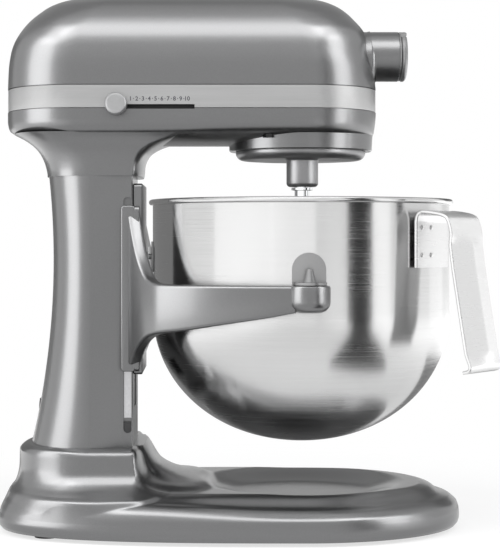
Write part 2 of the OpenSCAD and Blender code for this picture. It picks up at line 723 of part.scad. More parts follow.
train_m = 1.6;
pinion_teeth = 14;
centre_teeth = 42;
train_gap = train_m * (pinion_teeth + centre_teeth) / 2;
train_z = floor_z + 17;
train_h = 9;
frame_z = floor_z + 7;
frame_t = 6;

worm_starts = 2;
wheel_teeth = 30;
wheel_m = 4 / 3;
wheel_pitch = wheel_m * wheel_teeth / 2;
worm_pitch_r = 6;
worm_step = PI * wheel_m;
wheel_y = wheel_pitch + worm_pitch_r;
wheel_x = axis_x - sqrt(train_gap * train_gap - wheel_y * wheel_y);
wheel_h = 7;
train_turn = atan2(wheel_y, wheel_x - axis_x);
pin_shaft_r = 4;

bevel_centre_r = 21;
bevel_hub_r = 14;
bevel_share = 0.66;
bevel_thin = 0.55;
hub_shaft_r = 8;

motor_shaft_r = 5;
stator_r = 41;
worm_back = wheel_x - 12.5;
motor_bearing_r = 11;
motor_bearing_t = 8;
front_bearing_x = worm_back - 18;
stator_len = 49;
stator_back = front_bearing_x - stator_len - 33;
core_r = 24;
core_len = 45;
core_back = stator_back + 2;
commutator_x = stator_back - 26;
brush_x = commutator_x + 7;
rear_bearing_x = stator_back - 40;
board_x = rear_bearing_x - 16;

module ring_gear() color(steel) translate([axis_x, 0, ring_gear_z])
    linear_extrude(ring_gear_h) difference() {
        circle(r = ring_gear_r);
        polygon(gear_outline(ring_teeth, ring_m, -0.3, 1.5, 1.1, -90));
    }

module beater_pinion() color(steel) translate([axis_x, spindle_y, ring_gear_z + 0.8])
    linear_extrude(ring_gear_h - 2) difference() {
        polygon(gear_outline(planet_teeth, ring_m, 0.3, 1.1, 1.6, -90));
        circle(r = spindle_r + fit);
    }

module worm_wheel() color(brass) translate([wheel_x, wheel_y, 0]) difference() {
    union() {
        translate([0, 0, motor_z - wheel_h / 2])
            linear_extrude(wheel_h, twist = -wheel_h * worm_starts * worm_step
                / (2 * PI * worm_pitch_r) / wheel_pitch * deg, slices = 2)
                rotate(-90 + 180 / wheel_teeth - wheel_h / 2 * worm_starts * worm_step
                    / (2 * PI * worm_pitch_r) / wheel_pitch * deg)
                polygon(gear_outline(wheel_teeth, wheel_m, 0.25, 1.05, 1.45, 0));
        translate([0, 0, train_z]) cylinder(r = 8, h = motor_z - train_z);
        translate([0, 0, train_z]) linear_extrude(train_h)
            polygon(gear_outline(pinion_teeth, train_m, 0.3, 1.4, 1.9, train_turn + 180));
    }
    translate([0, 0, train_z - eps]) cylinder(r = pin_shaft_r + run, h = 60);
}

module wheel_pin() color(steel) translate([wheel_x, wheel_y, frame_z])
    cylinder(r = pin_shaft_r, h = motor_z + wheel_h / 2 + 3 - frame_z);

module centre_gear() color(steel) translate([axis_x, 0, train_z]) difference() {
    union() {
        linear_extrude(train_h)
            polygon(gear_outline(centre_teeth, train_m, 0.3, 1.4, 1.9,
                train_turn + 180 / centre_teeth));
        cylinder(r = 12, h = train_h + 3);
    }
    translate([0, 0, -eps]) cylinder(r = centre_shaft_r + fit, h = train_h + 5);
    for (k = [0 : 5]) rotate(60 * k) translate([21, 0, -eps]) cylinder(r = 5.5, h = train_h + 5);
}

module centre_bevel() color(steel) translate([axis_x, 0, hub_z]) difference() {
    union() {
        bevel_gear(24, bevel_centre_r, bevel_hub_r, 1.2, 1.9, bevel_thin, bevel_share, 0);
        translate([0, 0, train_z + train_h + 3 - hub_z])
            cylinder(r = 13, h = hub_z - bevel_hub_r - train_z - train_h - 2.6);
    }
    translate([0, 0, -60]) cylinder(r = centre_shaft_r + fit, h = 60);
}

module hub_bevel() color(steel) translate([axis_x, 0, hub_z]) rotate([0, -90, 0]) difference() {
    union() {
        bevel_gear(16, bevel_hub_r, bevel_centre_r, 1.2, 1.9, bevel_thin, bevel_share,
            180 + 180 / 16);
        translate([0, 0, -hub_shaft_end + axis_x])
            cylinder(r = hub_shaft_r, h = hub_shaft_end - axis_x - bevel_centre_r + 1);
        translate([0, 0, -bevel_centre_r - 8]) cylinder(r = 10.5, h = 7.4);
    }
    translate([-5, -5, -hub_shaft_end + axis_x - eps]) cube([10, 10, 13]);
}

// Cast bracket that carries the worm wheel's pin, the hub shaft and the armature's nose
module gear_frame() color([0.6, 0.61, 0.62]) difference() {
    union() {
        translate([axis_x, 0, frame_z]) cylinder(r = 26, h = frame_t);
        translate([front_bearing_x, -16, frame_z]) cube([axis_x - front_bearing_x, 32, frame_t]);
        translate([wheel_x, wheel_y, frame_z]) cylinder(r = 11, h = frame_t);
        translate([wheel_x - 11, 0, frame_z]) cube([22, wheel_y, frame_t]);
        translate([front_bearing_x, -15, frame_z]) cube([motor_bearing_t, 30, motor_z - frame_z]);
        translate([front_bearing_x, 0, motor_z]) rotate([0, 90, 0])
            cylinder(r = 15, h = motor_bearing_t);
        translate([axis_x, -14, frame_z]) cube([43, 28, frame_t]);
        translate([axis_x + 37.5, -12, frame_z]) cube([6, 24, hub_z - frame_z]);
        translate([axis_x + 31.5, 0, hub_z]) rotate([0, 90, 0]) cylinder(r = 13, h = 12);
    }
    translate([axis_x, 0, frame_z - eps])
        cylinder(r = centre_shaft_r + 3 + fit, h = frame_t + 2 * eps);
    translate([wheel_x, wheel_y, frame_z - eps])
        cylinder(r = pin_shaft_r + fit, h = frame_t + 2 * eps);
    translate([front_bearing_x - eps, 0, motor_z]) rotate([0, 90, 0])
        cylinder(r = motor_bearing_r + fit, h = motor_bearing_t + 2 * eps);
    translate([axis_x + 20, 0, hub_z]) rotate([0, 90, 0]) cylinder(r = hub_shaft_r + 2 + fit, h = 60);
}

module hub_bearing() color(brass) translate([axis_x + 31.5, 0, hub_z]) rotate([0, 90, 0])
    tube(hub_shaft_r + 2, hub_shaft_r + run, 12);

module shaft_bearing() color(steel) translate([axis_x, 0, bearing_z])
    tube(bearing_od, centre_shaft_r + run, bearing_h);

module shaft_bush() color(brass) translate([axis_x, 0, frame_z])
    tube(centre_shaft_r + 3, centre_shaft_r + run, frame_t);

// --- Motor -----------------------------------------------------------------------------

module along_motor(x) { translate([x, 0, motor_z]) rotate([0, 90, 0]) children(); }

module motor_stator() color([0.5, 0.5, 0.52]) along_motor(stator_back)
    linear_extrude(stator_len) difference() {
        circle(r = stator_r);
        circle(r = core_r + 0.8);
        for (k = [0, 180]) rotate(k) intersection() {
            difference() { circle(r = core_r + 10); circle(r = core_r - 1); }
            polygon([[0, 0], [60, -45], [60, 45]]);
        }
    }

module field_windings() color(copper) along_motor(stator_back - 7)
    linear_extrude(stator_len + 14) for (k = [0, 180]) rotate(k) intersection() {
        difference() { circle(r = core_r + 9.5); circle(r = core_r + 2); }
        polygon([[0, 0], [60, -42], [60, 42]]);
    }

saddle_x = stator_back + 26;
module motor_saddle() color(paint) difference() {
    translate([saddle_x, -30, head_under + 6]) cube([22, 60, 24]);
    along_motor(saddle_x - eps) cylinder(r = stator_r + fit, h = 30);
}

module front_bearing() color(steel) along_motor(front_bearing_x)
    tube(motor_bearing_r, motor_shaft_r + run, motor_bearing_t);

module rear_bearing() color(steel) along_motor(rear_bearing_x)
    tube(motor_bearing_r, motor_shaft_r + run, motor_bearing_t);

// Bracket of the brushes and the rear bearing; its two legs stand on the head's seats
holder_half = head_half - 18;
module brush_bracket() color(dark) difference() {
    union() {
        translate([rear_bearing_x, -holder_half, motor_z - 12])
            cube([motor_bearing_t, 2 * holder_half, 24]);
        both_sides() translate([rear_bearing_x, holder_half - 8, head_under + seat_h])
            cube([motor_bearing_t, 8, motor_z - head_under - seat_h + 2]);
        along_motor(rear_bearing_x) cylinder(r = 15, h = motor_bearing_t);
        both_sides() {
            translate([rear_bearing_x, 19, motor_z - 6]) cube([28, 14, 12]);
        }
    }
    along_motor(rear_bearing_x - eps) cylinder(r = motor_bearing_r + fit, h = motor_bearing_t + 2 * eps);
    translate([brush_x - 3.2, -60, motor_z - 4.2]) cube([6.4, 120, 8.4]);
}

module carbon_brushes() color([0.2, 0.2, 0.2]) both_sides()
    translate([brush_x - 3, 12.4, motor_z - 4]) cube([6, 20, 8]);

module control_board() color([0.1, 0.35, 0.2]) {
    translate([board_x, -board_half, head_under + seat_h]) cube([board_t, 2 * board_half, 60]);
    for (y = [-24, 2]) translate([board_x + 1, y, head_under + 16]) cube([8, 18, 14]);
    translate([board_x + 1, -20, head_under + 36]) cylinder(r = 5, h = 20);
}

module armature_shaft() color(steel) along_motor(rear_bearing_x - 3) {
    difference() {
        cylinder(r = motor_shaft_r, h = -rear_bearing_x + 3 + worm_back);
        translate([0, 0, -eps]) cylinder(r = 1.5, h = 4);
    }
    // Collar in which the worm begins
    translate([0, 0, -rear_bearing_x + 2 + worm_back]) cylinder(r = worm_pitch_r + 1.6, h = 2);
    translate([0, 0, -rear_bearing_x + 3 + worm_back]) worm_thread();
}

// Worm: a round bar whose radius follows its two threads. The ring at each slice has its
// crest where slice / pitch - starts * turn is a whole number.
worm_slices = 60;
worm_sides = 12;
worm_len = worm_step * worm_slices / worm_sides;
function thread_rise(p) = let (q = abs(p - round(p))) min(1, max(0, (0.25 - q) / 0.12));
module worm_thread() {
    skin([for (j = [0 : worm_slices]) let (x = worm_len * j / worm_slices)
        [for (i = [0 : worm_sides - 1])
            let (a = 360 * i / worm_sides,
                p = (x + worm_back - wheel_x) / worm_step - worm_starts * (a - 90) / 360,
                r = worm_pitch_r - 1.35 + 2.35 * thread_rise(p))
            [r * cos(a), r * sin(a), x]]]);
}

module armature_core() color([0.55, 0.55, 0.57]) along_motor(core_back) {
    linear_extrude(core_len) difference() {
        circle(r = core_r);
        circle(r = motor_shaft_r + fit);
        for (k = [0 : 11]) rotate(30 * k) translate([core_r - 8, -1.6]) square([9, 3.2]);
    }
    for (z = [-9, core_len]) translate([0, 0, z]) tube(core_r - 3, motor_shaft_r + fit, 9);
}

module commutator() color(copper) along_motor(commutator_x) difference() {
    cylinder(r = 12, h = 14);
    translate([0, 0, -eps]) cylinder(r = motor_shaft_r + fit, h = 16);
    for (k = [0 : 11]) rotate(30 * k) translate([10.8, -0.5, -eps]) cube([2, 1, 16]);
}

module cooling_fan() color(dark) along_motor(front_bearing_x - 22) difference() {
    union() {
        cylinder(r = 36, h = 2);
        cylinder(r = 9, h = 12);
        for (k = [0 : 10]) rotate(k * 360 / 11) translate([14, -1, 0]) cube([21, 2, 12]);
    }
    translate([0, 0, -eps]) cylinder(r = motor_shaft_r + fit, h = 15);
}

// --- Planetary drive -------------------------------------------------------------------

carrier_top = ring_gear_z - 1.2;

module planet_carrier() color([0.6, 0.61, 0.62]) translate([axis_x, 0, 0]) difference() {
    union() {
        rotate_extrude() polygon(concat([[0, planet_z], [planet_r - 6, planet_z]],
            [for (k = [1 : 5]) let (a = 90 * k / 5)
                [planet_r - 6 + 6 * sin(a), planet_z + 6 - 6 * cos(a)]],
            [[planet_r, skirt_z - 0.6], [ring_gear_r - 1, skirt_z - 0.6],
                [ring_gear_r - 1, carrier_top], [0, carrier_top]]));
        translate([0, spindle_y, 0]) rotate_extrude() polygon(concat([[0, spindle_house_z]],
            [for (k = [0 : 4]) let (a = 90 * k / 4)
                [spindle_house_r - 3 + 3 * sin(a), spindle_house_z + 3 - 3 * cos(a)]],
            [[spindle_house_r, planet_z + 2], [0, planet_z + 2]]));
    }
    translate([0, 0, planet_z + 4]) cylinder(r = centre_shaft_r + fit, h = 40);
    translate([0, spindle_y, spindle_house_z - eps]) cylinder(r = spindle_r + 2 + fit, h = 60);
}

module spindle_bush() color(brass) translate([axis_x, spindle_y, spindle_house_z + 1])
    tube(spindle_r + 2, spindle_r + run, carrier_top - spindle_house_z - 1);

module centre_shaft() color(steel) translate([axis_x, 0, planet_z + 4])
    cylinder(r = centre_shaft_r, h = hub_z - bevel_hub_r * bevel_share - planet_z - 4);

// Beater shaft with its flared collar; the cross pin drives the beater's slot.
module beater_shaft() color(steel) translate([axis_x, spindle_y, 0]) difference() {
    rotate_extrude() polygon([[0, spindle_end], [spindle_r - 1.2, spindle_end],
        [spindle_r, spindle_end + 1.2], [spindle_r, spindle_house_z - 2.9],
        [spindle_r + 2.5, spindle_house_z - 2.5], [spindle_r + 2.5, spindle_house_z - 0.7],
        [spindle_r, spindle_house_z - 0.5], [spindle_r, ring_gear_z + ring_gear_h - 0.6],
        [0, ring_gear_z + ring_gear_h - 0.6]]);
    translate([0, 0, spindle_end + 17]) rotate([0, 90, 0])
        cylinder(r = 2.5 + fit, h = 30, center = true);
}

module drive_pin() color(steel) translate([axis_x, spindle_y, spindle_end + 17])
    rotate([0, 90, 0]) cylinder(r = 2.5, h = 2 * spindle_r + 7, center = true);

// --- Speed lever -----------------------------------------------------------------------

module speed_knob() color([0.7, 0.71, 0.72])
    translate([knob_x, -head_half - 2, (slot_low + slot_high) / 2 + 1.5]) rotate([90, 0, 0])
    rotate_extrude() polygon(concat([[0, 0], [knob_r - 1.4, 0], [knob_r, 1.4]],
        [for (k = [0 : 5]) let (a = 90 * k / 5)
            [knob_r - 2.5 + 2.5 * cos(a), 9.5 + 2.5 * sin(a)]], [[0, 12]]));

stem_h = slot_high - slot_low - 0.7;
module speed_slider() color(dark) {
    translate([knob_x - 1.6, -head_half - 2, slot_low + 0.35]) cube([3.2, 10, stem_h]);
    translate([knob_x - 6, -head_half + 7, slot_low - 3]) cube([12, 2.6, 9]);
}

module speed_sensor() color([0.1, 0.35, 0.2]) {
    translate([knob_x - 8, -head_half + 10, trim_low - 12]) cube([knob_travel + 16, 1.6, 20]);
    for (x = [knob_x - 7, knob_x + knob_travel + 3])
        translate([x, -head_half + 11.6, head_under + 11.6]) cube([4, 3, 8]);
}

// --- Bowl ------------------------------------------------------------------------------

function bowl_wall(inset) = [for (k = [0 : 22]) let (a = 90 * k / 22)
    [(bowl_r - inset) * pow(sin(a), 2 / 2.08), bowl_bend - (bowl_bend - bowl_low - inset)
        * pow(cos(a), 2 / 2.08)]];

module bowl_shell() color([0.85, 0.86, 0.87]) translate([axis_x, 0, 0]) rotate_extrude($fn = 96)
    polygon(concat(bowl_wall(0),
        [[bowl_r, bowl_top - 2 * rim_r]],
        [for (k = [0 : 8]) let (a = -90 + 180 * k / 8)
            [bowl_r + rim_r * 0.4 + rim_r * cos(a), bowl_top - rim_r + rim_r * sin(a)]],
        [[bowl_r - bowl_t, bowl_top], [bowl_r - bowl_t, bowl_bend + eps]],
        [for (k = [22 : -1 : 0]) bowl_wall(bowl_t)[k]]));

bracket_half = 12.5;
bracket_t = 2;
flange_t = 2;
flange_z = arm_top + 0.4;

module bracket(reach, hole) {
    intersection() {
        difference() {
            translate([0, 0, flange_z]) cylinder(r = bowl_r + bracket_t, h = 40, $fn = 96);
            translate([0, 0, flange_z - eps]) cylinder(r = bowl_r + fit, h = 42, $fn = 96);
        }
        translate([0, bowl_r - 20, flange_z]) rotate([-90, 0, 0]) linear_extrude(40) {
            translate([-bracket_half, -11]) square([2 * bracket_half, 11]);
            translate([0, -11]) circle(r = bracket_half);
        }
    }
    difference() {
        union() {
            translate([-bracket_half, bowl_r - 4, flange_z])
                cube([2 * bracket_half, reach - bowl_r - bracket_half + 12, flange_t]);
            translate([0, reach - bracket_half + 8, flange_z]) cylinder(r = bracket_half, h = flange_t);
        }
        translate([0, 0, flange_z - eps]) cylinder(r = bowl_r + fit, h = 10, $fn = 96);
        translate([0, pin_half, flange_z - eps]) cylinder(r = hole, h = 10);
    }
}

stud_z = arm_top + 20;
module bowl_brackets() color(steel) translate([axis_x, 0, 0]) {
    bracket(pin_half + 5, pin_r + 0.5);
    mirror([0, 1, 0]) bracket(pin_half + 5, pin_r + 0.5);
    // Rear plate with the stud that the spring clip holds
    intersection() {
        difference() {
            translate([0, 0, stud_z - 12]) cylinder(r = bowl_r + 1.2, h = 24, $fn = 96);
            translate([0, 0, stud_z - 13]) cylinder(r = bowl_r + fit, h = 26, $fn = 96);
        }
        translate([-bowl_r - 3, -12, stud_z - 12]) cube([20, 24, 24]);
    }
    translate([-bowl_r - 0.6, 0, stud_z]) rotate([0, -90, 0]) {
        cylinder(r = 2.2, h = 3.6);
        translate([0, 0, 3.4]) cylinder(r1 = 4.2, r2 = 3, h = 1.9);
    }
}

// Handle: a strap bent from a tab on the wall, out and down to a curled lower lip. The
// rows give distance from the wall and from the rim; each span's strap is one section.
handle_rows = [[1.3, -52.8], [1.3, -19.2], [2.5, -13.7], [6, -11], [21, -12.9], [26.4, -15],
    [29.2, -19.4], [35.1, -54.2], [41.9, -94.2], [46.3, -120.2], [47, -125.3], [45.5, -128.3],
    [41, -129.6]];
handle_path = [for (r = handle_rows) [r[0], bowl_top + r[1]]];
function unit(v) = v / norm(v);
function path_normal(p, i) = let (a = p[max(0, i - 1)], b = p[min(len(p) - 1, i + 1)],
    t = unit(b - a)) [t[1], -t[0]];

module bowl_handle() color([0.9, 0.9, 0.91]) translate([axis_x, 0, 0]) rotate(handle_turn)
    translate([bowl_r, handle_w / 2, 0]) rotate([90, 0, 0]) linear_extrude(handle_w)
    polygon(concat(
        [for (i = [0 : len(handle_path) - 1])
            handle_path[i] + path_normal(handle_path, i) * handle_t / 2],
        [for (i = [len(handle_path) - 1 : -1 : 0])
            handle_path[i] - path_normal(handle_path, i) * handle_t / 2]));

// --- Bowl lift -------------------------------------------------------------------------

plate_back = column_front - slide_gap;
plate_front = column_front - plate_reach;
plate_high = column_top - 6;
plate_low = arm_top - 71;
cheek_high = column_top - 23.3;
cheek_low = plate_low + 2.8;
cheek_back = column_front + 8.8;
cheek_t = 5.7;

// Stations along one arm: share of its run forward, share of its run outward, then its lower
// and upper edge from the arms' upper face.
arm_table = [[0, 0, cheek_low + 3 - arm_top, cheek_high - 4 - arm_top], [0.037, 0.146, -53, 32],
    [0.079, 0.285, -45, 14], [0.128, 0.424, -39.5, 3.5], [0.186, 0.544, -36.8, 0.6],
    [0.314, 0.677, -34.4, 0], [0.57, 0.848, -29, 0], [0.851, 0.962, -23.4, 0],
    [1, 1, -arm_tip_h, 0]];
arm_start = [-column_front + 1, rail_half + 2.5];
arm_end = [axis_x - 10, pin_half + 0.5];
arm_rows = [for (r = arm_table) [arm_start[0] + (arm_end[0] - arm_start[0]) * r[0],
    arm_start[1] + (arm_end[1] - arm_start[1]) * r[1], arm_top + r[2], arm_top + r[3]]];

function arm_ring(i) = let (r = arm_rows[i], a = arm_rows[max(0, i - 1)],
    b = arm_rows[min(len(arm_rows) - 1, i + 1)], t = unit([b[0] - a[0], b[1] - a[1]]),
    n = [-t[1], t[0]], h = arm_t / 2, c = 2, lo = r[2], hi = r[3])
    [for (q = [[-h + c, lo], [h - c, lo], [h, lo + c], [h, hi - c], [h - c, hi], [-h + c, hi],
        [-h, hi - c], [-h, lo + c]]) [r[0] + n[0] * q[0], r[1] + n[1] * q[0], q[1]]];

module yoke_arm() skin([for (i = [0 : len(arm_rows) - 1]) arm_ring(i)]);

boss_r = 13.4;
boss_top = arm_top;
module yoke_boss() translate([axis_x, pin_half, boss_top]) rotate([180, 0, 0]) rotate_extrude()
    polygon(concat([[0, 0], [boss_r - 1.5, 0], [boss_r, 1.5]],
        [for (k = [0 : 5]) let (a = 90 * k / 5)
            [boss_r - 6 + 6 * cos(a), arm_tip_h - 6 + 6 * sin(a)]], [[0, arm_tip_h]]));

module bowl_yoke() color(paint) difference() {
    union() {
        translate([-plate_back, -rail_half + 2, plate_low])
            cube([plate_back - plate_front, 2 * rail_half - 4, plate_high - plate_low]);
        translate([-plate_back, -rail_half - cheek_t, cheek_low])
            cube([plate_back - plate_front - 2, 2 * (rail_half + cheek_t), cheek_high - cheek_low]);
        both_sides() {
            translate([-cheek_back, rail_half + slide_gap, cheek_low])
                cube([cheek_back - plate_back + eps, cheek_t - slide_gap, cheek_high - cheek_low]);
            // Tongue that runs in the column's side groove
            translate([-groove_front - groove_w + slide_gap, rail_half - groove_depth + strip_t + slide_gap,
                cheek_low + 4])
                cube([groove_w - 2 * slide_gap, groove_depth - strip_t + eps,
                    cheek_high - cheek_low - 8]);
            yoke_arm();
            yoke_boss();
        }
        // Neck through the column's front slot
        translate([-column_front - front_wall - slide_gap, -lift_slot_half + slide_gap, plate_low + 12])
            cube([front_wall + 1, 2 * (lift_slot_half - slide_gap), plate_high - plate_low - 30]);
    }
    both_sides() translate([axis_x, pin_half, boss_top - 12])
        cylinder(r = pin_r - 0.5 + fit, h = 20);
    translate([axis_x, 0, plate_low - 20]) cylinder(r = bowl_r + 1.6, h = 200);
    for (z = retainer_holes) translate([-column_front - 20, 0, z]) rotate([0, 90, 0])
        cylinder(r = 2.5 + fit, h = 18.6);
}

module locating_pins() color(steel) both_sides() translate([axis_x, pin_half, boss_top]) {
    translate([0, 0, -12]) cylinder(r = pin_r - 0.5, h = 12.01);
    cylinder(r = pin_r, h = 2.6);
    translate([0, 0, 2.6]) cylinder(r1 = pin_r, r2 = pin_r * 0.5, h = 9.4);
}

retainer_holes = [plate_low + 30, plate_high - 36];
retainer_t = 5.4;
crank_r = lift_travel / (2 * sin(lever_turn / 2));
roller_r = 5;
crank_slack = 1.5;
slot_rest_z = lever_z + lift_travel / 2;
link_y = -8.5;
link_t = 5;

// Plate behind the column's front wall; its tail has the cross slot for the crank roller.
module slide_retainer() color(steel) difference() {
    union() {
        translate([-column_front - front_wall - slide_gap - retainer_t, -30, plate_low + 10])
            cube([retainer_t, 60, plate_high - plate_low - 26]);
        translate([-lever_x - crank_r - roller_r - 5, link_y,
            slot_rest_z - roller_r - crank_slack - 4])
            cube([lever_x + crank_r + roller_r + 5 - column_front - front_wall - 2, link_t,
                2 * (roller_r + crank_slack + 4)]);
    }
    translate([-lever_x - crank_r - roller_r - 1, link_y - eps,
        slot_rest_z - roller_r - crank_slack])
        cube([crank_r * (1 - cos(lever_turn / 2)) + 2 * roller_r + 2, link_t + 2 * eps,
            2 * (roller_r + crank_slack)]);
    for (z = retainer_holes) translate([-column_front - 20, 0, z]) rotate([0, 90, 0])
        cylinder(r = 2.5 + fit, h = 18.6);
}

module retainer_screws() color(steel) for (z = retainer_holes)
    translate([-column_front - front_wall - slide_gap - retainer_t, 0, z])
        rotate([0, -90, 0]) hex_screw(2.5, 12, 4.4, 3);

module latch_clip() color(steel) translate([-plate_front, 0, 0]) {
    translate([0.02, -8, stud_z - 22]) cube([0.7, 16, 24]);
    translate([0.02, -8, stud_z - 22]) cube([3.5, 16, 0.8]);
    both_sides() translate([2.8, 3, stud_z - 22]) cube([0.7, 5, 30]);
}

// Cross shaft, crank web and crank pin forged in one
crank_turn = lever_turn / 2 - 90;
module lift_shaft() color(steel) translate([-lever_x, 0, lever_z]) {
    translate([0, 3, 0]) rotate([-90, 0, 0]) cylinder(r = lever_shaft_r, h = lever_side + 12.8);
    rotate([0, crank_turn, 0]) {
        translate([0, 3, 0]) rotate([-90, 0, 0]) cylinder(r = 9, h = 6);
        translate([-7, 3, 0]) cube([14, 6, crank_r]);
        translate([0, 3, crank_r]) rotate([-90, 0, 0]) cylinder(r = 7, h = 6);
        translate([0, link_y - 1, crank_r]) rotate([-90, 0, 0]) cylinder(r = 3, h = 5 - link_y);
    }
}

module crank_roller() color([0.9, 0.88, 0.8]) translate([-lever_x, 0, lever_z])
    rotate([0, crank_turn, 0]) translate([0, link_y, crank_r]) rotate([-90, 0, 0])
    tube(roller_r, 3 + run, 11);

lever_plane = lever_side + 1.4;
module lift_lever() color(paint) translate([-lever_x, lever_plane, lever_z]) difference() {
    union() {
        rotate([-90, 0, 0]) cylinder(r = 14, h = 11);
        hull() {
            translate([-9, 2, 0]) cube([18, 7, 4]);
            translate([-6.5, 2 + lever_out, lever_len - 44]) cube([13, 7, 4]);
        }
        translate([-5, 2 + lever_out, lever_len - 41]) cube([10, 7, 34]);
    }
    translate([0, -eps, 0]) rotate([-90, 0, 0]) cylinder(r = lever_shaft_r + fit, h = 30);
}

grip_len = 42;
module lever_grip() color(dark)
    translate([-lever_x, lever_plane + 5.5 + lever_out, lever_z + lever_len - grip_len])
    difference() {
        rotate_extrude() polygon([[0, 2.2], [8.5, 2.2], [10, 5], [11.4, 22], [10.6, 34],
            [7, grip_len - 1.5], [0, grip_len]]);
        translate([-5 - fit, -3.5 - fit, 0]) cube([10 + 2 * fit, 7 + 2 * fit, 35.5]);
    }

base_casting();
base_feet();
column_casting();
column_bolts();
guide_strips();
groove_stops();
head_lower();
head_cover();
trim_band();
cover_screws();
neck_bolts();
hub_liner();
ring_gear();
gear_frame();
shaft_bearing();
shaft_bush();
hub_bearing();
wheel_pin();
motor_stator();
field_windings();
motor_saddle();
front_bearing();
rear_bearing();
brush_bracket();
carbon_brushes();
control_board();
speed_sensor();
lead_gland();
lift_bush();
armature_shaft();
armature_core();
commutator();
cooling_fan();
worm_wheel();
planet_carrier();
centre_shaft();
centre_gear();
centre_bevel();
spindle_bush();
beater_shaft();
beater_pinion();
drive_pin();
hub_bevel();
hub_cap();
attachment_knob();
knob_screw();
speed_knob();
speed_slider();
bowl_yoke();
locating_pins();
slide_retainer();
retainer_screws();
latch_clip();
lift_shaft();
crank_roller();
lift_lever();
lever_grip();
bowl_shell();
bowl_brackets();
bowl_handle();
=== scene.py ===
"""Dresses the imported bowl-lift stand mixer with smooth castings, spun steel and its finishes.

All lengths in the classes below are millimetres in the part's own frame: +X is the front, +Z is
up, and the floor is z = 0. Meshes are written in metres with every object at the origin.
"""

import json
import logging
import math
from dataclasses import dataclass
from enum import Enum
from typing import Any, Callable, Iterable, Optional, Sequence, Union

import bmesh
import bpy
import numpy as np
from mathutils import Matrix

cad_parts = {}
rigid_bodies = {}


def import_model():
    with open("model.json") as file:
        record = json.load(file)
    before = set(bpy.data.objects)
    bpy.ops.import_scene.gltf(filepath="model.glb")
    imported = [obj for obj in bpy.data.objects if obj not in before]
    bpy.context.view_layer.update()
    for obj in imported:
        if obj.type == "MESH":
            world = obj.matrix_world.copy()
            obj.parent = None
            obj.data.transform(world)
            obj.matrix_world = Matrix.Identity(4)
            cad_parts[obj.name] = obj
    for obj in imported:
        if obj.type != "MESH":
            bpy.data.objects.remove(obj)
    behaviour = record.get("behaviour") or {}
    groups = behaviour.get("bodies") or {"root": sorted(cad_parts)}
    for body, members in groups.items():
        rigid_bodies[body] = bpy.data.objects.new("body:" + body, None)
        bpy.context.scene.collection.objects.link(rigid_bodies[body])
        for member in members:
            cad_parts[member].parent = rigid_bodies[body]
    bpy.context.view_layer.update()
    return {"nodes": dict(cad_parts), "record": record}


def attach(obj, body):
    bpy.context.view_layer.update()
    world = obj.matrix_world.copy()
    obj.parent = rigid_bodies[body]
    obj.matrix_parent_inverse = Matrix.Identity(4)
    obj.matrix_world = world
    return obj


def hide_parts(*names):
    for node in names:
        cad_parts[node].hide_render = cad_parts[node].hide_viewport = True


log = logging.getLogger("mixer")

Array = np.ndarray
Colour = tuple[float, float, float]
Point = tuple[float, float, float]

METRE = 0.001
SHARP = 35.0


class Axis(Enum):
    """Direction that a turned piece or a prism is built along; its value is the axis's index."""

    X = 0
    Y = 1
    Z = 2

    def placed(self, rings: Array) -> Array:
        """Points made with their last coordinate along the axis, in the part's own order."""
        return np.roll(rings, self.value + 1, axis=-1)


# --- Curves and tables ---------------------------------------------------------------------


def chord(points: Array) -> Array:
    """Distance along a polyline at each of its points, from 0.

    Args:
        points: Array of shape (n, d).

    Returns:
        Array of n running lengths: the sum of the spans' lengths.
    """
    return np.concatenate([[0.0], np.cumsum(np.linalg.norm(np.diff(points, axis=0), axis=1))])


def arc(low: float, high: float, steps: int) -> Array:
    """Angles in radians from low to high degrees in equal steps, both ends included."""
    return np.linspace(low, high, steps + 1) * math.pi / 180


def even_cubic(knots: Array, rows: Array, at: Array) -> Array:
    """Values between table rows on a cubic that never overshoots them.

    The slope at an inner row is the weighted harmonic mean of its two spans' slopes where
    these agree in sign, and 0 otherwise; each span is then the Hermite cubic of its ends.

    Args:
        knots: Rising parameter of each row, shape (n,).
        rows: Table rows, shape (n, d).
        at: Parameters asked for, shape (m,).

    Returns:
        Array of shape (m, d).
    """
    rows = np.asarray(rows, float)
    step = np.diff(knots)[:, None]
    slope = np.diff(rows, axis=0) / step
    tangent = np.zeros_like(rows)
    tangent[0], tangent[-1] = slope[0], slope[-1]
    before, after = slope[:-1], slope[1:]
    same = before * after > 0
    low = 2 * step[1:] + step[:-1]
    high = step[1:] + 2 * step[:-1]
    with np.errstate(divide="ignore", invalid="ignore"):
        mean = (low + high) / (low / before + high / after)
    tangent[1:-1] = np.where(same, np.nan_to_num(mean), 0.0)
    k = np.clip(np.searchsorted(knots, at, side="right") - 1, 0, len(knots) - 2)
    span = step[k]
    u = ((at - knots[k])[:, None]) / span
    return (
        rows[k] * (1 + 2 * u) * (1 - u) ** 2
        + tangent[k] * span * u * (1 - u) ** 2
        + rows[k + 1] * u * u * (3 - 2 * u)
        + tangent[k + 1] * span * u * u * (u - 1)
    )


def flowing(table: Sequence[Sequence[float]], count: int) -> Array:
    """A table of rows redrawn as count rows on a smooth curve, evenly spaced along it."""
    rows = np.asarray(table, float)
    knots = chord(rows)
    return even_cubic(knots, rows, np.linspace(0, knots[-1], count))


def signed_power(value: Array, exponent: float) -> Array:
    """The power of the size of a value, with the value's own sign."""
    return np.sign(value) * np.abs(value) ** exponent


def smoothstep(value: Array) -> Array:
    """3u^2 - 2u^3 with u held between 0 and 1."""
    u = np.clip(value, 0, 1)
    return u * u * (3 - 2 * u)


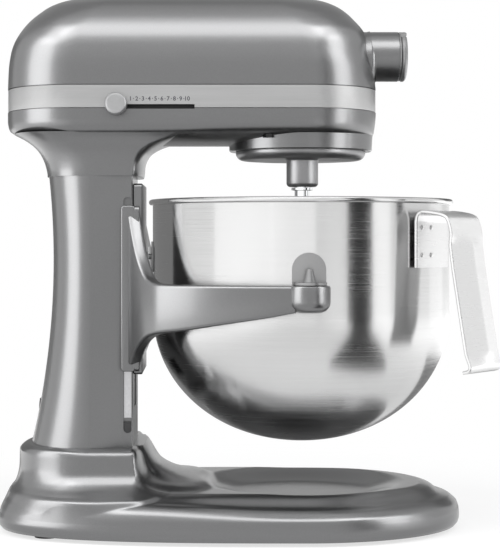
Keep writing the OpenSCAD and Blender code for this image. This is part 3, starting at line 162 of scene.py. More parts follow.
def soft_max(a: Array, b: Array, width: float) -> Array:
    """The larger of two heights, with a fillet of the given width where they cross.

    Formula: max(a, b) + h^2 / (4 width), where h = max(width - |a - b|, 0).
    """
    near = np.maximum(width - np.abs(a - b), 0)
    return np.maximum(a, b) + near * near / (4 * width)


def even_loop(loop: Array, count: int) -> Array:
    """A closed plan curve redrawn as count points at equal distances along it."""
    closed = np.vstack([loop, loop[:1]])
    run = chord(closed)
    at = np.linspace(0, run[-1], count, endpoint=False)
    return np.stack([np.interp(at, run, closed[:, i]) for i in range(loop.shape[1])], axis=1)


def plan(back: float, front: float, half: float, b: float, f: float, pb: float = 2,
         pf: float = 2, count: int = 40, side: int = 6) -> Array:
    """Closed plan outline: two rounded ends joined by straight sides.

    The front end is x = front - f + f cos^(2/pf), y = half sin^(2/pf); the back end mirrors it
    with length b and power pb; side points lie evenly on each straight side.

    Args:
        back: Rearmost x.
        front: Foremost x.
        half: Half width.
        b: Length of the rounded back end.
        f: Length of the rounded front end.
        pb: Squareness of the back end.
        pf: Squareness of the front end.
        count: Points over each rounded end.
        side: Points inside each straight side.

    Returns:
        Array (2 count + 2 side + 2, 2), anticlockwise from the front end's right corner.
    """
    a = arc(-90, 90, count)
    nose = np.stack([front - f + f * signed_power(np.cos(a), 2 / pf),
                     half * signed_power(np.sin(a), 2 / pf)], axis=1)
    tail = np.stack([back + b - b * signed_power(np.cos(a), 2 / pb),
                     -half * signed_power(np.sin(a), 2 / pb)], axis=1)
    u = np.linspace(0, 1, side + 2)[1:-1, None]
    left = nose[-1] * (1 - u) + tail[0] * u
    right = tail[-1] * (1 - u) + nose[0] * u
    return np.vstack([nose, left, tail, right])


def level(outline: Array, z: Any) -> Array:
    """A plan outline as points at one height, or at a height for each point."""
    return np.column_stack([outline, np.broadcast_to(z, len(outline))])


# --- Shells --------------------------------------------------------------------------------


@dataclass
class Shell:
    """A closed surface: points in millimetres and faces as index lists."""

    points: Array
    faces: list[list[int]]

    def volume(self) -> float:
        """Signed volume: the sum of each face fan's determinants over six."""
        total = 0.0
        sizes: dict[int, list[list[int]]] = {}
        for face in self.faces:
            sizes.setdefault(len(face), []).append(face)
        for size, group in sizes.items():
            corners = self.points[np.array(group)]
            for k in range(1, size - 1):
                total += float(np.einsum("ij,ij->i", corners[:, 0],
                                         np.cross(corners[:, k], corners[:, k + 1])).sum())
        return total / 6

    def facing(self, outward: bool = True) -> "Shell":
        """The same shell with its faces turned outwards, or inwards for a cavity."""
        if (self.volume() > 0) != outward:
            return Shell(self.points, [face[::-1] for face in self.faces])
        return self

    def moved(self, offset: Point) -> "Shell":
        """The shell carried by an offset."""
        return Shell(self.points + np.asarray(offset, float), self.faces)


def joined(shells: Iterable[Shell]) -> Shell:
    """Several shells as one, without welding."""
    points: list[Array] = []
    faces: list[list[int]] = []
    base = 0
    for shell in shells:
        points.append(shell.points)
        faces.extend([[i + base for i in face] for face in shell.faces])
        base += len(shell.points)
    return Shell(np.vstack(points), faces)


def loft(rings: Array, cap_first: bool = True, cap_last: bool = True,
         closed_rows: bool = False, outward: bool = True) -> Shell:
    """A surface through closed rings, each row joined to the next by quads.

    Args:
        rings: Array (rows, columns, 3).
        cap_first: Closes the first ring with a fan to its centre.
        cap_last: Closes the last ring likewise.
        closed_rows: Joins the last row back to the first, as for a ring-shaped solid.
        outward: Faces point outwards, or inwards for a cavity.

    Returns:
        The shell.
    """
    rows, columns, _ = rings.shape
    index = np.arange(rows * columns).reshape(rows, columns)
    upper = np.roll(index, -1, axis=0) if closed_rows else index[1:]
    lower = index if closed_rows else index[:-1]
    quads = np.stack([lower, np.roll(lower, -1, axis=1), np.roll(upper, -1, axis=1), upper],
                     axis=-1).reshape(-1, 4)
    points = [rings.reshape(-1, 3)]
    faces = quads.tolist()
    extra = rows * columns
    for wanted, row, turn in ((cap_first, index[0], True), (cap_last, index[-1], False)):
        if not wanted or closed_rows:
            continue
        points.append(rings.reshape(-1, 3)[row].mean(axis=0)[None])
        pairs = np.stack([row, np.roll(row, -1), np.full(columns, extra)], axis=1)
        faces.extend((pairs[:, ::-1] if turn else pairs).tolist())
        extra += 1
    return Shell(np.vstack(points), faces).facing(outward)


def turned(profile: Array, centre: Point = (0, 0, 0), axis: Axis = Axis.Z, count: int = 128,
           closed: bool = False, outward: bool = True) -> Shell:
    """A surface of revolution: (r, h) becomes (r cos a, r sin a, h) about the axis.

    Args:
        profile: Array (n, 2) of radius and height along the axis.
        centre: Point that the axis passes through; heights are added to it.
        axis: Direction of the axis.
        count: Points round the axis.
        closed: The profile is itself a loop, as for a tube's wall.
        outward: Faces point outwards.

    Returns:
        The shell.
    """
    profile = np.asarray(profile, float)
    a = np.linspace(0, 2 * math.pi, count, endpoint=False)
    r, h = profile[:, :1], profile[:, 1:]
    ring = np.stack([r * np.cos(a), r * np.sin(a), np.broadcast_to(h, (len(profile), count))],
                    axis=-1)
    placed = axis.placed(ring) + np.asarray(centre, float)
    return loft(placed, not closed and profile[0, 0] > 0, not closed and profile[-1, 0] > 0,
                closed_rows=closed, outward=outward)


def drum(radius: float, low: float, high: float, centre: Point = (0, 0, 0), axis: Axis = Axis.Z,
         count: int = 48) -> Shell:
    """A plain drum about an axis through a centre, from low to high along it."""
    return turned(np.array([[0, low], [radius, low], [radius, high], [0, high]]), centre, axis,
                  count)


def rounded_box(width: float, height: float, radius: float, steps: int = 5) -> Array:
    """Outline of a rectangle about the origin with quarter-circle corners, anticlockwise."""
    a = arc(0, 90, steps)
    corner = np.stack([np.cos(a), np.sin(a)], axis=1) * radius
    parts = []
    for k, signs in enumerate(((1, 1), (-1, 1), (-1, -1), (1, -1))):
        c, s = math.cos(k * math.pi / 2), math.sin(k * math.pi / 2)
        centre = np.array(signs) * [width / 2 - radius, height / 2 - radius]
        parts.append(corner @ np.array([[c, s], [-s, c]]) + centre)
    return np.vstack(parts)


def plan_normals(outline: Array) -> Array:
    """Unit normals of a closed plan outline, pointing right of its direction of travel."""
    along = np.roll(outline, -1, axis=0) - np.roll(outline, 1, axis=0)
    along /= np.linalg.norm(along, axis=1, keepdims=True) + 1e-12
    return np.stack([along[:, 1], -along[:, 0]], axis=1)


def prism(outline: Array, low: float, high: float, edge: float = 0.8, axis: Axis = Axis.Z,
          steps: int = 3) -> Shell:
    """A plate of the given outline whose two rims are rounded.

    Row k of a rim lies edge (1 - sin) inside the outline and edge (1 - cos) below its face.

    Args:
        outline: Closed plan outline (n, 2), anticlockwise, in the two axes after the axis.
        low: Lower face along the axis.
        high: Upper face along the axis.
        edge: Radius of the rims.
        axis: Direction across the plate.
        steps: Rows on each rim.

    Returns:
        The shell.
    """
    normal = plan_normals(outline)
    a = arc(0, 90, steps)
    drops = [(edge * (1 - math.sin(t)), edge * (1 - math.cos(t))) for t in a]
    rows = [(inset, low + rise) for inset, rise in drops]
    rows += [(inset, high - rise) for inset, rise in drops[::-1]]
    rings = np.stack([level(outline - normal * inset, h) for inset, h in rows])
    return loft(axis.placed(rings))


def block(low: Point, high: Point, edge: float = 0.6, corner: float = 0.0,
          axis: Axis = Axis.Z) -> Shell:
    """A box between two corners with rounded rims, and rounded corners about one axis."""
    lo, hi = np.asarray(low, float), np.asarray(high, float)
    u, v, w = (axis.value + 1) % 3, (axis.value + 2) % 3, axis.value
    outline = rounded_box(hi[u] - lo[u], hi[v] - lo[v], max(corner, edge), 4)
    outline = outline + [(hi[u] + lo[u]) / 2, (hi[v] + lo[v]) / 2]
    return prism(outline, lo[w], hi[w], edge, axis)


def swept(section: Array, path: Array, sideways: Array) -> Shell:
    """A closed section carried along a path.

    A section point (p, q) at path point c with across direction s and normal n = t x s lies
    at c + p s + q n, where t is the path's direction.

    Args:
        section: (rows or 1, columns, 2) section, one for the whole path or one a row.
        path: (rows, 3) path points.
        sideways: (rows, 3) unit vectors across the path.

    Returns:
        The shell, capped at both ends.
    """
    along = np.gradient(path, axis=0)
    along /= np.linalg.norm(along, axis=1, keepdims=True)
    sideways = sideways - along * np.einsum("ij,ij->i", sideways, along)[:, None]
    sideways /= np.linalg.norm(sideways, axis=1, keepdims=True)
    normal = np.cross(along, sideways)
    across, up = section[..., :1], section[..., 1:]
    rings = path[:, None] + across * sideways[:, None] + up * normal[:, None]
    return loft(rings)


# --- Objects -------------------------------------------------------------------------------


def to_mesh(name: str, shell: Shell) -> bpy.types.Mesh:
    """Writes a shell to a mesh in metres, with doubled points merged."""
    mesh = bpy.data.meshes.new(name)
    mesh.from_pydata((shell.points * METRE).tolist(), [], shell.faces)
    build = bmesh.new()
    build.from_mesh(mesh)
    bmesh.ops.remove_doubles(build, verts=build.verts, dist=2e-6)
    bmesh.ops.dissolve_degenerate(build, edges=build.edges, dist=1e-6)
    build.to_mesh(mesh)
    build.free()
    mesh.validate()
    return mesh


def carve(form: Shell, cutters: Sequence[Shell]) -> bpy.types.Mesh:
    """Takes closed shells out of a form.

    Args:
        form: Shell to cut.
        cutters: Shells to take away.

    Returns:
        The cut mesh.
    """
    scene = bpy.context.scene
    body = bpy.data.objects.new("cut_body", to_mesh("cut_body", form))
    tool = bpy.data.objects.new("cut_tool", to_mesh("cut_tool", joined(cutters)))
    for item in (body, tool):
        scene.collection.objects.link(item)
    modifier = body.modifiers.new("cut", "BOOLEAN")
    modifier.operation, modifier.solver, modifier.object = "DIFFERENCE", "EXACT", tool
    graph = bpy.context.evaluated_depsgraph_get()
    result = bpy.data.meshes.new_from_object(body.evaluated_get(graph))
    for item in (body, tool):
        old = item.data
        bpy.data.objects.remove(item)
        bpy.data.meshes.remove(old)
    return result


def show(name: str, form: Union[Shell, bpy.types.Mesh], finish: "Finish", body: str,
         nodes: Sequence[str] = (), sharp: float = SHARP) -> bpy.types.Object:
    """Puts a form in the scene as a piece of the mixer.

    Args:
        name: Name of the object.
        form: Its shell in millimetres, or its mesh in metres.
        finish: Its finish.
        body: Body that it moves with.
        nodes: Nodes of the part that it stands for.
        sharp: Angle in degrees above which an edge stays crisp.

    Returns:
        The object.
    """
    mesh = to_mesh(name, form) if isinstance(form, Shell) else form
    mesh.name = name
    mesh.polygons.foreach_set("use_smooth", np.ones(len(mesh.polygons), bool))
    mesh.set_sharp_from_angle(angle=math.radians(sharp))
    piece = bpy.data.objects.new(name, mesh)
    bpy.context.scene.collection.objects.link(piece)
    mesh.materials.clear()
    mesh.materials.append(finish.material())
    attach(piece, body)
    if nodes:
        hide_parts(*nodes)
    log.info("%s: %d faces, rides on %s", name, len(mesh.polygons), body)
    return piece


# --- Finishes ------------------------------------------------------------------------------


class Nodes:
    """A node tree with short calls for adding and joining nodes."""

    def __init__(self, tree: bpy.types.NodeTree) -> None:
        """Starts with an empty tree."""
        self.tree = tree
        tree.nodes.clear()

    def add(self, kind: str, inputs: Optional[dict[Any, Any]] = None,
            **settings: Any) -> bpy.types.Node:
        """Adds a node.

        Args:
            kind: Node type without its ShaderNode prefix.
            inputs: Socket name or index to a value or to a socket to link from.
            settings: Properties of the node.

        Returns:
            The node.
        """
        node = self.tree.nodes.new("ShaderNode" + kind)
        for key, value in settings.items():
            setattr(node, key, value)
        for key, value in (inputs or {}).items():
            self.put(node.inputs[key], value)
        return node

    def put(self, socket: bpy.types.NodeSocket, value: Any) -> None:
        """Sets a socket to a value, or links it from another socket."""
        if isinstance(value, bpy.types.NodeSocket):
            self.tree.links.new(value, socket)
        elif isinstance(value, tuple) and len(value) == 3 and socket.type == "RGBA":
            socket.default_value = (*value, 1.0)
        else:
            socket.default_value = value

    def math(self, operation: str, *values: Any) -> bpy.types.NodeSocket:
        """Result of an operation on one or two values or sockets."""
        return self.add("Math", dict(enumerate(values)), operation=operation).outputs[0]


class Graph(Nodes):
    """A material's node tree, with its surface shader and the patterns that finishes use."""

    def __init__(self, name: str) -> None:
        """Starts a material with its output and surface shader."""
        self.material = bpy.data.materials.new(name)
        self.material.use_nodes = True
        super().__init__(self.material.node_tree)
        self.out = self.add("OutputMaterial")
        self.shader = self.add("BsdfPrincipled")
        self.put(self.out.inputs[0], self.shader.outputs[0])
        self.place = self.add("TexCoord").outputs["Object"]

    def surface(self, **values: Any) -> None:
        """Sets sockets of the surface shader; underscores in names stand for spaces."""
        for key, value in values.items():
            self.put(self.shader.inputs[key.replace("_", " ")], value)

    def stretched(self, scale: Point) -> bpy.types.NodeSocket:
        """Object coordinates multiplied by a scale along each axis."""
        return self.add("Mapping", {"Vector": self.place, "Scale": scale}).outputs[0]

    def noise(self, scale: float, detail: float = 3, rough: float = 0.5,
              vector: Optional[bpy.types.NodeSocket] = None) -> bpy.types.NodeSocket:
        """Noise value; scale counts features a metre."""
        return self.add("TexNoise", {"Vector": vector or self.place, "Scale": scale,
                                     "Detail": detail, "Roughness": rough}).outputs[0]

    def between(self, value: bpy.types.NodeSocket, low: float, high: float, start: float = 0.3,
                end: float = 0.7) -> bpy.types.NodeSocket:
        """A value carried from start..end to low..high."""
        return self.add("MapRange", {"Value": value, "From Min": start, "From Max": end,
                                     "To Min": low, "To Max": high}).outputs[0]

    def blend(self, factor: bpy.types.NodeSocket, a: Any, b: Any) -> bpy.types.NodeSocket:
        """Colour a where the factor is 0, colour b where it is 1."""
        node = self.add("Mix", {0: factor}, data_type="RGBA")
        self.put(node.inputs[6], a)
        self.put(node.inputs[7], b)
        return node.outputs[2]

    def bump(self, height: bpy.types.NodeSocket, depth: float, strength: float = 1.0,
             under: Optional[bpy.types.NodeSocket] = None) -> bpy.types.NodeSocket:
        """Normal bent by a height of the given depth in metres."""
        node = self.add("Bump", {"Height": height, "Distance": depth, "Strength": strength})
        if under is not None:
            self.put(node.inputs["Normal"], under)
        return node.outputs[0]


def shade(colour: Colour, factor: float) -> Colour:
    """A colour multiplied by a factor, held below 1."""
    return tuple(min(1.0, c * factor) for c in colour)


@dataclass(frozen=True)
class Finish:
    """What every finish has: a name, the record's slot and a base colour."""

    name: str
    slot: str
    colour: Colour
    rough: float = 0.4

    def material(self) -> bpy.types.Material:
        """The finish's material, made once."""
        return bpy.data.materials.get(self.name) or self.build()

    def build(self) -> bpy.types.Material:
        """Makes the material; each kind of finish has its own."""
        raise NotImplementedError


@dataclass(frozen=True)
class Enamel(Finish):
    """Metallic gloss enamel: fine flake under a clear coat with a faint orange peel."""

    metallic: float = 0.95
    coat: float = 0.25
    flake: float = 2600.0
    peel: float = 260.0

    def build(self) -> bpy.types.Material:
        """Flake varies colour and roughness; two noises bend the normal."""
        g = Graph(self.name)
        flake = g.add("TexVoronoi", {"Vector": g.place, "Scale": self.flake}).outputs["Color"]
        glint = g.add("SeparateColor", {0: flake}).outputs[0]
        cloud = g.noise(18, 2)
        tone = g.blend(g.between(glint, 0, 1, 0, 1), shade(self.colour, 0.95),
                       shade(self.colour, 1.05))
        tone = g.blend(g.between(cloud, 0.0, 0.06), tone, shade(self.colour, 0.85))
        peel = g.bump(g.noise(self.peel, 2), 0.00005, 0.12)
        g.surface(Base_Color=tone, Metallic=self.metallic,
                  Roughness=g.between(glint, self.rough - 0.035, self.rough + 0.035, 0, 1),
                  Coat_Weight=self.coat, Coat_Roughness=0.12, Normal=peel)
        return g.material


@dataclass(frozen=True)
class Brushed(Finish):
    """Metal with fine lines: noise drawn out along the lines and squeezed across them."""

    grain: Point = (20.0, 20.0, 1600.0)
    depth: float = 0.5
    contrast: float = 0.12
    metallic: float = 1.0
    wear: float = 0.05
    coat: float = 0.0
    round_z: float = 0.0

    def build(self) -> bpy.types.Material:
        """Two scales of line vary colour, roughness and normal; a broad cloud dulls patches."""
        g = Graph(self.name)
        lines = g.noise(1, 4, 0.6, g.stretched(self.grain))
        broad = g.noise(0.25, 2, 0.5, g.stretched(self.grain))
        cloud = g.noise(22, 3)
        tone = g.blend(g.between(lines, 0, 1), shade(self.colour, 1 - self.contrast),
                       shade(self.colour, 1 + self.contrast))
        tone = g.blend(g.between(broad, 0, 0.35), tone, shade(self.colour, 1 - self.contrast * 1.5))
        rough = g.between(lines, self.rough - 0.06, self.rough + 0.08)
        patch = g.math("ADD", rough, g.between(cloud, 0, self.wear))
        g.surface(Base_Color=tone, Metallic=self.metallic, Roughness=patch, Coat_Weight=self.coat,
                  Normal=g.bump(lines, 0.00002, self.depth))
        if self.round_z:
            tangent = g.add("Tangent", direction_type="RADIAL", axis="Z").outputs[0]
            g.surface(Anisotropic=self.round_z, Anisotropic_Rotation=0.25, Tangent=tangent)
        return g.material


@dataclass(frozen=True)
class Cast(Finish):
    """Blasted or cast metal: a grainy skin with shallow pits."""

    grain: float = 900.0
    metallic: float = 0.9
    pits: float = 0.6

    def build(self) -> bpy.types.Material:
        """Grain and broader stain vary the colour; the grain is raised."""
        g = Graph(self.name)
        grain = g.noise(self.grain, 4)
        stain = g.noise(35, 4)
        tone = g.blend(g.between(stain, 0, 1), shade(self.colour, 0.82), shade(self.colour, 1.1))
        tone = g.blend(g.between(grain, 0, 0.25), tone, shade(self.colour, 0.7))
        g.surface(Base_Color=tone, Metallic=self.metallic,
                  Roughness=g.between(stain, self.rough - 0.06, self.rough + 0.08),
                  Normal=g.bump(grain, 0.00008, self.pits))
        return g.material


@dataclass(frozen=True)
class Moulded(Finish):
    """Moulded plastic or rubber: fine spark-eroded texture and faint smears."""

    texture: float = 1400.0
    depth: float = 0.4
    sheen: float = 0.0

    def build(self) -> bpy.types.Material:
        """The texture is raised; smears vary the roughness and colour."""
        g = Graph(self.name)
        texture = g.noise(self.texture, 3)
        smear = g.noise(40, 4)
        tone = g.blend(g.between(smear, 0, 1), shade(self.colour, 0.85), shade(self.colour, 1.15))
        g.surface(Base_Color=tone, Roughness=g.between(smear, self.rough - 0.07, self.rough + 0.08),
                  Sheen_Weight=self.sheen, Normal=g.bump(texture, 0.00006, self.depth))
        return g.material


@dataclass(frozen=True)
class Layered(Finish):
    """Stacked sheets or wound wire: bands across one axis with a dark line between them."""

    pitch: float = 0.0009
    across: Axis = Axis.X
    metallic: float = 0.9
    gap: Colour = (0.05, 0.05, 0.05)

    def build(self) -> bpy.types.Material:
        """A saw wave along the axis gives each layer; its edges are dark and sunk."""
        g = Graph(self.name)
        waves = g.add("TexWave", {"Vector": g.place, "Scale": 1 / self.pitch / 20 * math.pi,
                                  "Distortion": 0.4, "Detail": 2.0, "Detail Scale": 1.5},
                      bands_direction=self.across.name, wave_profile="SIN")
        band = waves.outputs[1] if len(waves.outputs) > 1 else waves.outputs[0]
        stain = g.noise(60, 4)
        tone = g.blend(g.between(stain, 0, 1), shade(self.colour, 0.8), shade(self.colour, 1.1))
        tone = g.blend(g.between(band, 1, 0, 0.0, 0.35), tone, self.gap)
        g.surface(Base_Color=tone, Metallic=self.metallic,
                  Roughness=g.between(stain, self.rough - 0.05, self.rough + 0.1),
                  Normal=g.bump(band, 0.0001, 0.6))
        return g.material


@dataclass(frozen=True)
class Board(Finish):
    """Circuit board: solder mask over tracks, with tinned pads in rows."""

    def build(self) -> bpy.types.Material:
        """Bricks of two greens are the tracks; a cell pattern gives the pads."""
        g = Graph(self.name)
        upright = g.add("Mapping", {"Vector": g.place, "Rotation": (1.571, 0, 1.571)}).outputs[0]
        bricks = g.add("TexBrick", {"Vector": upright, "Color1": (0.01, 0.07, 0.03),
                                    "Color2": (0.015, 0.11, 0.045), "Mortar": (0.02, 0.17, 0.07),
                                    "Scale": 90.0, "Mortar Size": 0.03})
        cells = g.add("TexVoronoi", {"Vector": g.place, "Scale": 260.0})
        pads = g.between(cells.outputs["Distance"], 1, 0, 0.18, 0.22)
        tone = g.blend(pads, bricks.outputs[0], (0.62, 0.62, 0.6))
        g.surface(Base_Color=tone, Metallic=g.between(pads, 0, 0.9, 0, 1),
                  Roughness=g.between(g.noise(300), 0.3, 0.45), Normal=g.bump(pads, 0.0001, 0.5))
        return g.material


BODY_PAINT = Enamel("body_enamel", "body_paint", (0.18, 0.181, 0.183), 0.32)
BAND_METAL = Brushed("satin_band", "band_metal", (0.47, 0.47, 0.47), 0.38, grain=(30, 900, 900),
                     depth=0.25, contrast=0.05, metallic=0.75)
BOWL_STEEL = Brushed("spun_bowl_steel", "bowl_steel", (0.6, 0.6, 0.6), 0.18, grain=(9, 9, 2200),
                     depth=0.06, contrast=0.03, round_z=0.85)
POLISHED = Brushed("polished_steel", "polished_steel", (0.55, 0.553, 0.556), 0.28,
                   grain=(40, 40, 700), depth=0.12, contrast=0.03)
HANDLE_STEEL = Brushed("polished_handle", "polished_steel", (0.76, 0.76, 0.76), 0.28,
                       grain=(60, 60, 900), depth=0.006, contrast=0.01)
MACHINED = Brushed("machined_steel", "steel", (0.6, 0.6, 0.61), 0.3, grain=(500, 500, 500),
                   depth=0.3, contrast=0.1)
CAST_ALLOY = Cast("cast_alloy", "cast_alloy", (0.5, 0.505, 0.51), 0.42)
SATIN_ALLOY = Cast("satin_drive_alloy", "cast_alloy", (0.3, 0.3, 0.305), 0.36, grain=1400,
                   pits=0.25)
BRONZE = Cast("sintered_bronze", "bronze", (0.55, 0.36, 0.16), 0.36, grain=1500, pits=0.4)
LAMINATION = Layered("steel_laminations", "lamination", (0.3, 0.3, 0.31), 0.45)
COPPER = Layered("wound_copper", "copper", (0.72, 0.33, 0.16), 0.35, pitch=0.0011,
                 gap=(0.12, 0.04, 0.02))
RUBBER = Moulded("foot_rubber", "rubber", (0.035, 0.035, 0.036), 0.75, texture=900, depth=0.7)
DARK_PLASTIC = Moulded("dark_plastic", "dark_plastic", (0.03, 0.03, 0.032), 0.42)
CARBON = Moulded("carbon", "carbon", (0.04, 0.04, 0.042), 0.55, texture=2200, depth=0.5)
CIRCUIT = Board("circuit_board", "circuit_board", (0.02, 0.1, 0.04))
NYLON = Moulded("nylon", "nylon", (0.75, 0.73, 0.66), 0.45, texture=1200, depth=0.2, sheen=0.1)
KNOB_METAL = Brushed("satin_knob", "band_metal", (0.45, 0.452, 0.455), 0.34, grain=(300, 300, 300),
                     depth=0.2, contrast=0.05, metallic=0.85)
BRACKET_STEEL = Brushed("satin_bracket", "polished_steel", (0.31, 0.31, 0.312), 0.34,
                        grain=(300, 300, 300), depth=0.2, contrast=0.05)
CAP_METAL = Brushed("satin_cap", "polished_steel", (0.32, 0.321, 0.323), 0.36,
                    grain=(300, 300, 300), depth=0.2, contrast=0.05)
# The cover screws' steel is near black as painted shade: their heads sit in recesses under the head
# and are made as dark as the shade there.
SCREW_SHADE_STEEL = Cast("black_steel", "steel", (0.045, 0.045, 0.046), 0.4, grain=1500, pits=0.3)
# The speed sensor's board is near black as painted shade: seen through the speed slot, it makes the
# slot read as a dark, shaded recess.
SLOT_SHADE_BOARD = Moulded("sensor_board", "circuit_board", (0.025, 0.025, 0.027), 0.38, texture=1800,
                       depth=0.2)
FINISHES: dict[str, Finish] = {finish.slot: finish for finish in (
    KNOB_METAL, SATIN_ALLOY, BODY_PAINT, BAND_METAL, BOWL_STEEL, POLISHED, MACHINED, CAST_ALLOY,
    BRONZE, LAMINATION, COPPER, RUBBER, DARK_PLASTIC, CARBON, CIRCUIT, NYLON)}
OWN_FINISH: dict[str, Finish] = {
    "bowl_brackets": BRACKET_STEEL, "speed_sensor": SLOT_SHADE_BOARD, "hub_liner": CAP_METAL,
    "locating_pins": CAP_METAL, "cover_screws": SCREW_SHADE_STEEL}


# --- Castings ------------------------------------------------------------------------------


def height_over(x: Array, y: Array, rings: Array, heights: Array, centre: tuple[float, float],
                fall: float = 2.0) -> Array:
    """Height of a hill given by its contour rings, read along rays from a centre.

    On the ray through a point the height runs in a straight line between the contours on
    either side; inside the last contour it is the last height, outside the first it falls
    away at the given slope.

    Args:
        x: Query x, any shape.
        y: Query y, same shape.
        rings: Contours (rows, points, 2), outermost first.
        heights: Height of each contour.
        centre: Centre of the rays.
        fall: Slope outside the outermost contour.

    Returns:
        Heights in the shape of x.
    """
    grid = np.linspace(-math.pi, math.pi, 1441)
    table = []
    for ring in rings:
        dx, dy = ring[:, 0] - centre[0], ring[:, 1] - centre[1]
        angle, radius = np.arctan2(dy, dx), np.hypot(dx, dy)
        order = np.argsort(angle)
        table.append(np.interp(grid, angle[order], radius[order], period=2 * math.pi))
    radii = np.array(table)
    dx, dy = x - centre[0], y - centre[1]
    place = (np.arctan2(dy, dx) + math.pi) / (2 * math.pi) * (len(grid) - 1)
    k = np.clip(place.astype(int), 0, len(grid) - 2)
    u = place - k
    reach = np.hypot(dx, dy)
    at = [row[k] * (1 - u) + row[k + 1] * u for row in radii]
    height = heights[0] - (reach - at[0]) * fall
    for outer, inner, low, high in zip(at[:-1], at[1:], heights[:-1], heights[1:]):
        share = (outer - reach) / np.maximum(outer - inner, 1e-6)
        height = np.where(reach < outer, low + (high - low) * np.minimum(share, 1), height)
    return height


@dataclass
class BaseCasting:
    """Base: rolled band, tray with its shallow dish, and the shoulder under the column.

    A row of band is inset, height and further inset at the back. A row of shoulder is a share
    of the shoulder's height and its growth at back, front and sides; one of saddle is the same
    without the back. A fade is where it starts and how long it is.
    """

    axis_x: float = 47.0
    back: float = 193.0
    nose: float = 126.0
    half: float = 107.0
    shoulder_z: float = 67.5
    shoulder_back: float = 176.5
    shoulder_front: float = 77.5
    shoulder_half: float = 69.0
    shoulder_round: float = 58.0
    shoulder_eye: tuple[float, float] = (-127.0, 0.0)
    saddle_back: float = 97.0
    saddle_half: float = 40.0
    saddle_eye: tuple[float, float] = (-90.0, 0.0)
    fillet: float = 9.0
    saddle_fillet: float = 14.0
    dish_r: float = 84.0
    dish_flat: float = 0.55
    dish_depth: float = 8.0
    split: float = 16.0
    sink: float = 3.2
    sink_in: tuple[float, float] = (17.0, 10.0)
    sink_out: tuple[float, float] = (30.0, 5.5)
    sink_along: tuple[float, float] = (-90.0, 130.0)
    skin: float = 6.0
    rim: float = 9.0
    foot_z: float = 3.0
    rib_z: float = 25.0
    rib_t: float = 4.0
    cavity_top: float = 54.9
    pads: tuple = ((125, 48), (125, -48), (-150, 58), (-150, -58))
    ribs: tuple = ((-60, 92), (0, 96), (107, 82))
    spine: tuple = (-90, 154)
    count: int = 300
    band: tuple = ((3, 3, 0), (0.8, 6, 0), (0, 10.5, 0), (0.5, 17, 1.9), (2.2, 22.8, 3),
                   (5.2, 26.8, 3), (9, 29.3, 1.5), (15, 30.8, 0), (23, 33.9, 0), (30, 35.5, 0))
    shoulder: tuple = ((0.3, 11, 38, 25), (0.44, 8, 33, 23), (0.5, 5.2, 27, 17),
                       (0.57, 2.8, 19, 10), (0.65, 1.2, 11, 4.6), (0.74, 0.2, 6.5, 1.4),
                       (0.84, 0, 3, 0.5), (0.92, 0, 1.2, 0), (0.97, -2.6, -0.8, -2),
                       (1, -7, -5, -7))
    saddle: tuple = ((0.3, 60, 34), (0.53, 50, 20), (0.57, 39, 12), (0.62, 28.5, 6.5),
                     (0.68, 20.5, 3.2), (0.76, 13, 1.2), (0.86, 8.5, 0), (0.96, 4.5, -1),
                     (0.998, 1, -4))

    def outline(self, inset: float, roll: float = 0.0) -> Array:
        """Plan of the base drawn in by inset, and by roll more at its back.

        The nose is the ellipse (nose cos a, half sin a) about the bowl axis; behind it both
        powers are 2/3, which squares the back.
        """
        a = arc(-90, 270, 6000)[:-1]
        c, s = np.cos(a), np.sin(a)
        front = c >= 0
        tail = self.axis_x + self.back - inset - roll
        x = np.where(front, (self.nose - inset) * c, tail * signed_power(c, 2 / 3))
        y = (self.half - inset) * np.where(front, s, signed_power(s, 2 / 3))
        return even_loop(np.stack([self.axis_x + x, y], axis=1), self.count)

    def edge(self) -> tuple[Array, Array]:
        """Rows of the rolled band on one smooth curve: up to the split height, and the rest."""
        rows = flowing(self.band, 80)
        split = int(np.searchsorted(rows[:, 1], self.split))
        return rows[:split + 1], rows[split:]

    def shoulder_ring(self, row: Sequence[float], inset: float = 0.0) -> Array:
        """Contour of the shoulder for one row of its table."""
        ring = plan(-self.shoulder_back - row[1] + inset, -self.shoulder_front + row[2] - inset,
                    self.shoulder_half + row[3] - inset, self.shoulder_round + row[1] * 3,
                    7 + row[2], 2.3, 2.2)
        return even_loop(ring, self.count)

    def saddle_ring(self, row: Sequence[float]) -> Array:
        """Contour of the saddle for one row of its table."""
        ring = plan(-self.saddle_back, -self.shoulder_front + row[1], self.saddle_half + row[2],
                    8, 6 + row[1] * 0.4, 3, 2.6)
        return even_loop(ring, self.count)

    def hill(self, x: Array, y: Array, table: Sequence[Sequence[float]], count: int,
             ring: Callable[[Array], Array], eye: tuple[float, float]) -> Array:
        """Height of the shoulder or the saddle, from its table's rows on count smooth rings."""
        rows = flowing([(r[0] * self.shoulder_z, *r[1:]) for r in table], count)
        return height_over(x, y, np.stack([ring(r) for r in rows]), rows[:, 0], eye)

    def height(self, x: Array, y: Array) -> Array:
        """Upper surface: band, shoulder and saddle joined by fillets, less the dish.

        The band's edge sinks by sink towards the nose, while the tray stays level. The dish is
        dish_depth below the tray out to dish_flat of its radius and rises to the lip as a
        smoothstep.
        """
        edge = self.edge()[1]
        tray = height_over(x, y, np.stack([self.outline(r[0], r[2]) for r in edge]), edge[:, 1],
                           (self.axis_x, 0.0))
        hill = self.hill(x, y, self.shoulder, 40, self.shoulder_ring, self.shoulder_eye)
        ramp = self.hill(x, y, self.saddle, 30, self.saddle_ring, self.saddle_eye)
        (low, rise), (high, fall), (start, length) = self.sink_in, self.sink_out, self.sink_along
        share = smoothstep((tray - low) / rise) * (1 - smoothstep((tray - high) / fall))
        tray = tray - self.sink * share * smoothstep((x - start) / length)
        top = soft_max(soft_max(tray, hill, self.fillet), ramp, self.saddle_fillet)
        reach = np.hypot(x - self.axis_x, y)
        flat = self.dish_r * self.dish_flat
        dish = self.dish_depth * (1 - smoothstep((reach - flat) / (self.dish_r - flat)))
        return np.minimum(top, self.shoulder_z) - dish

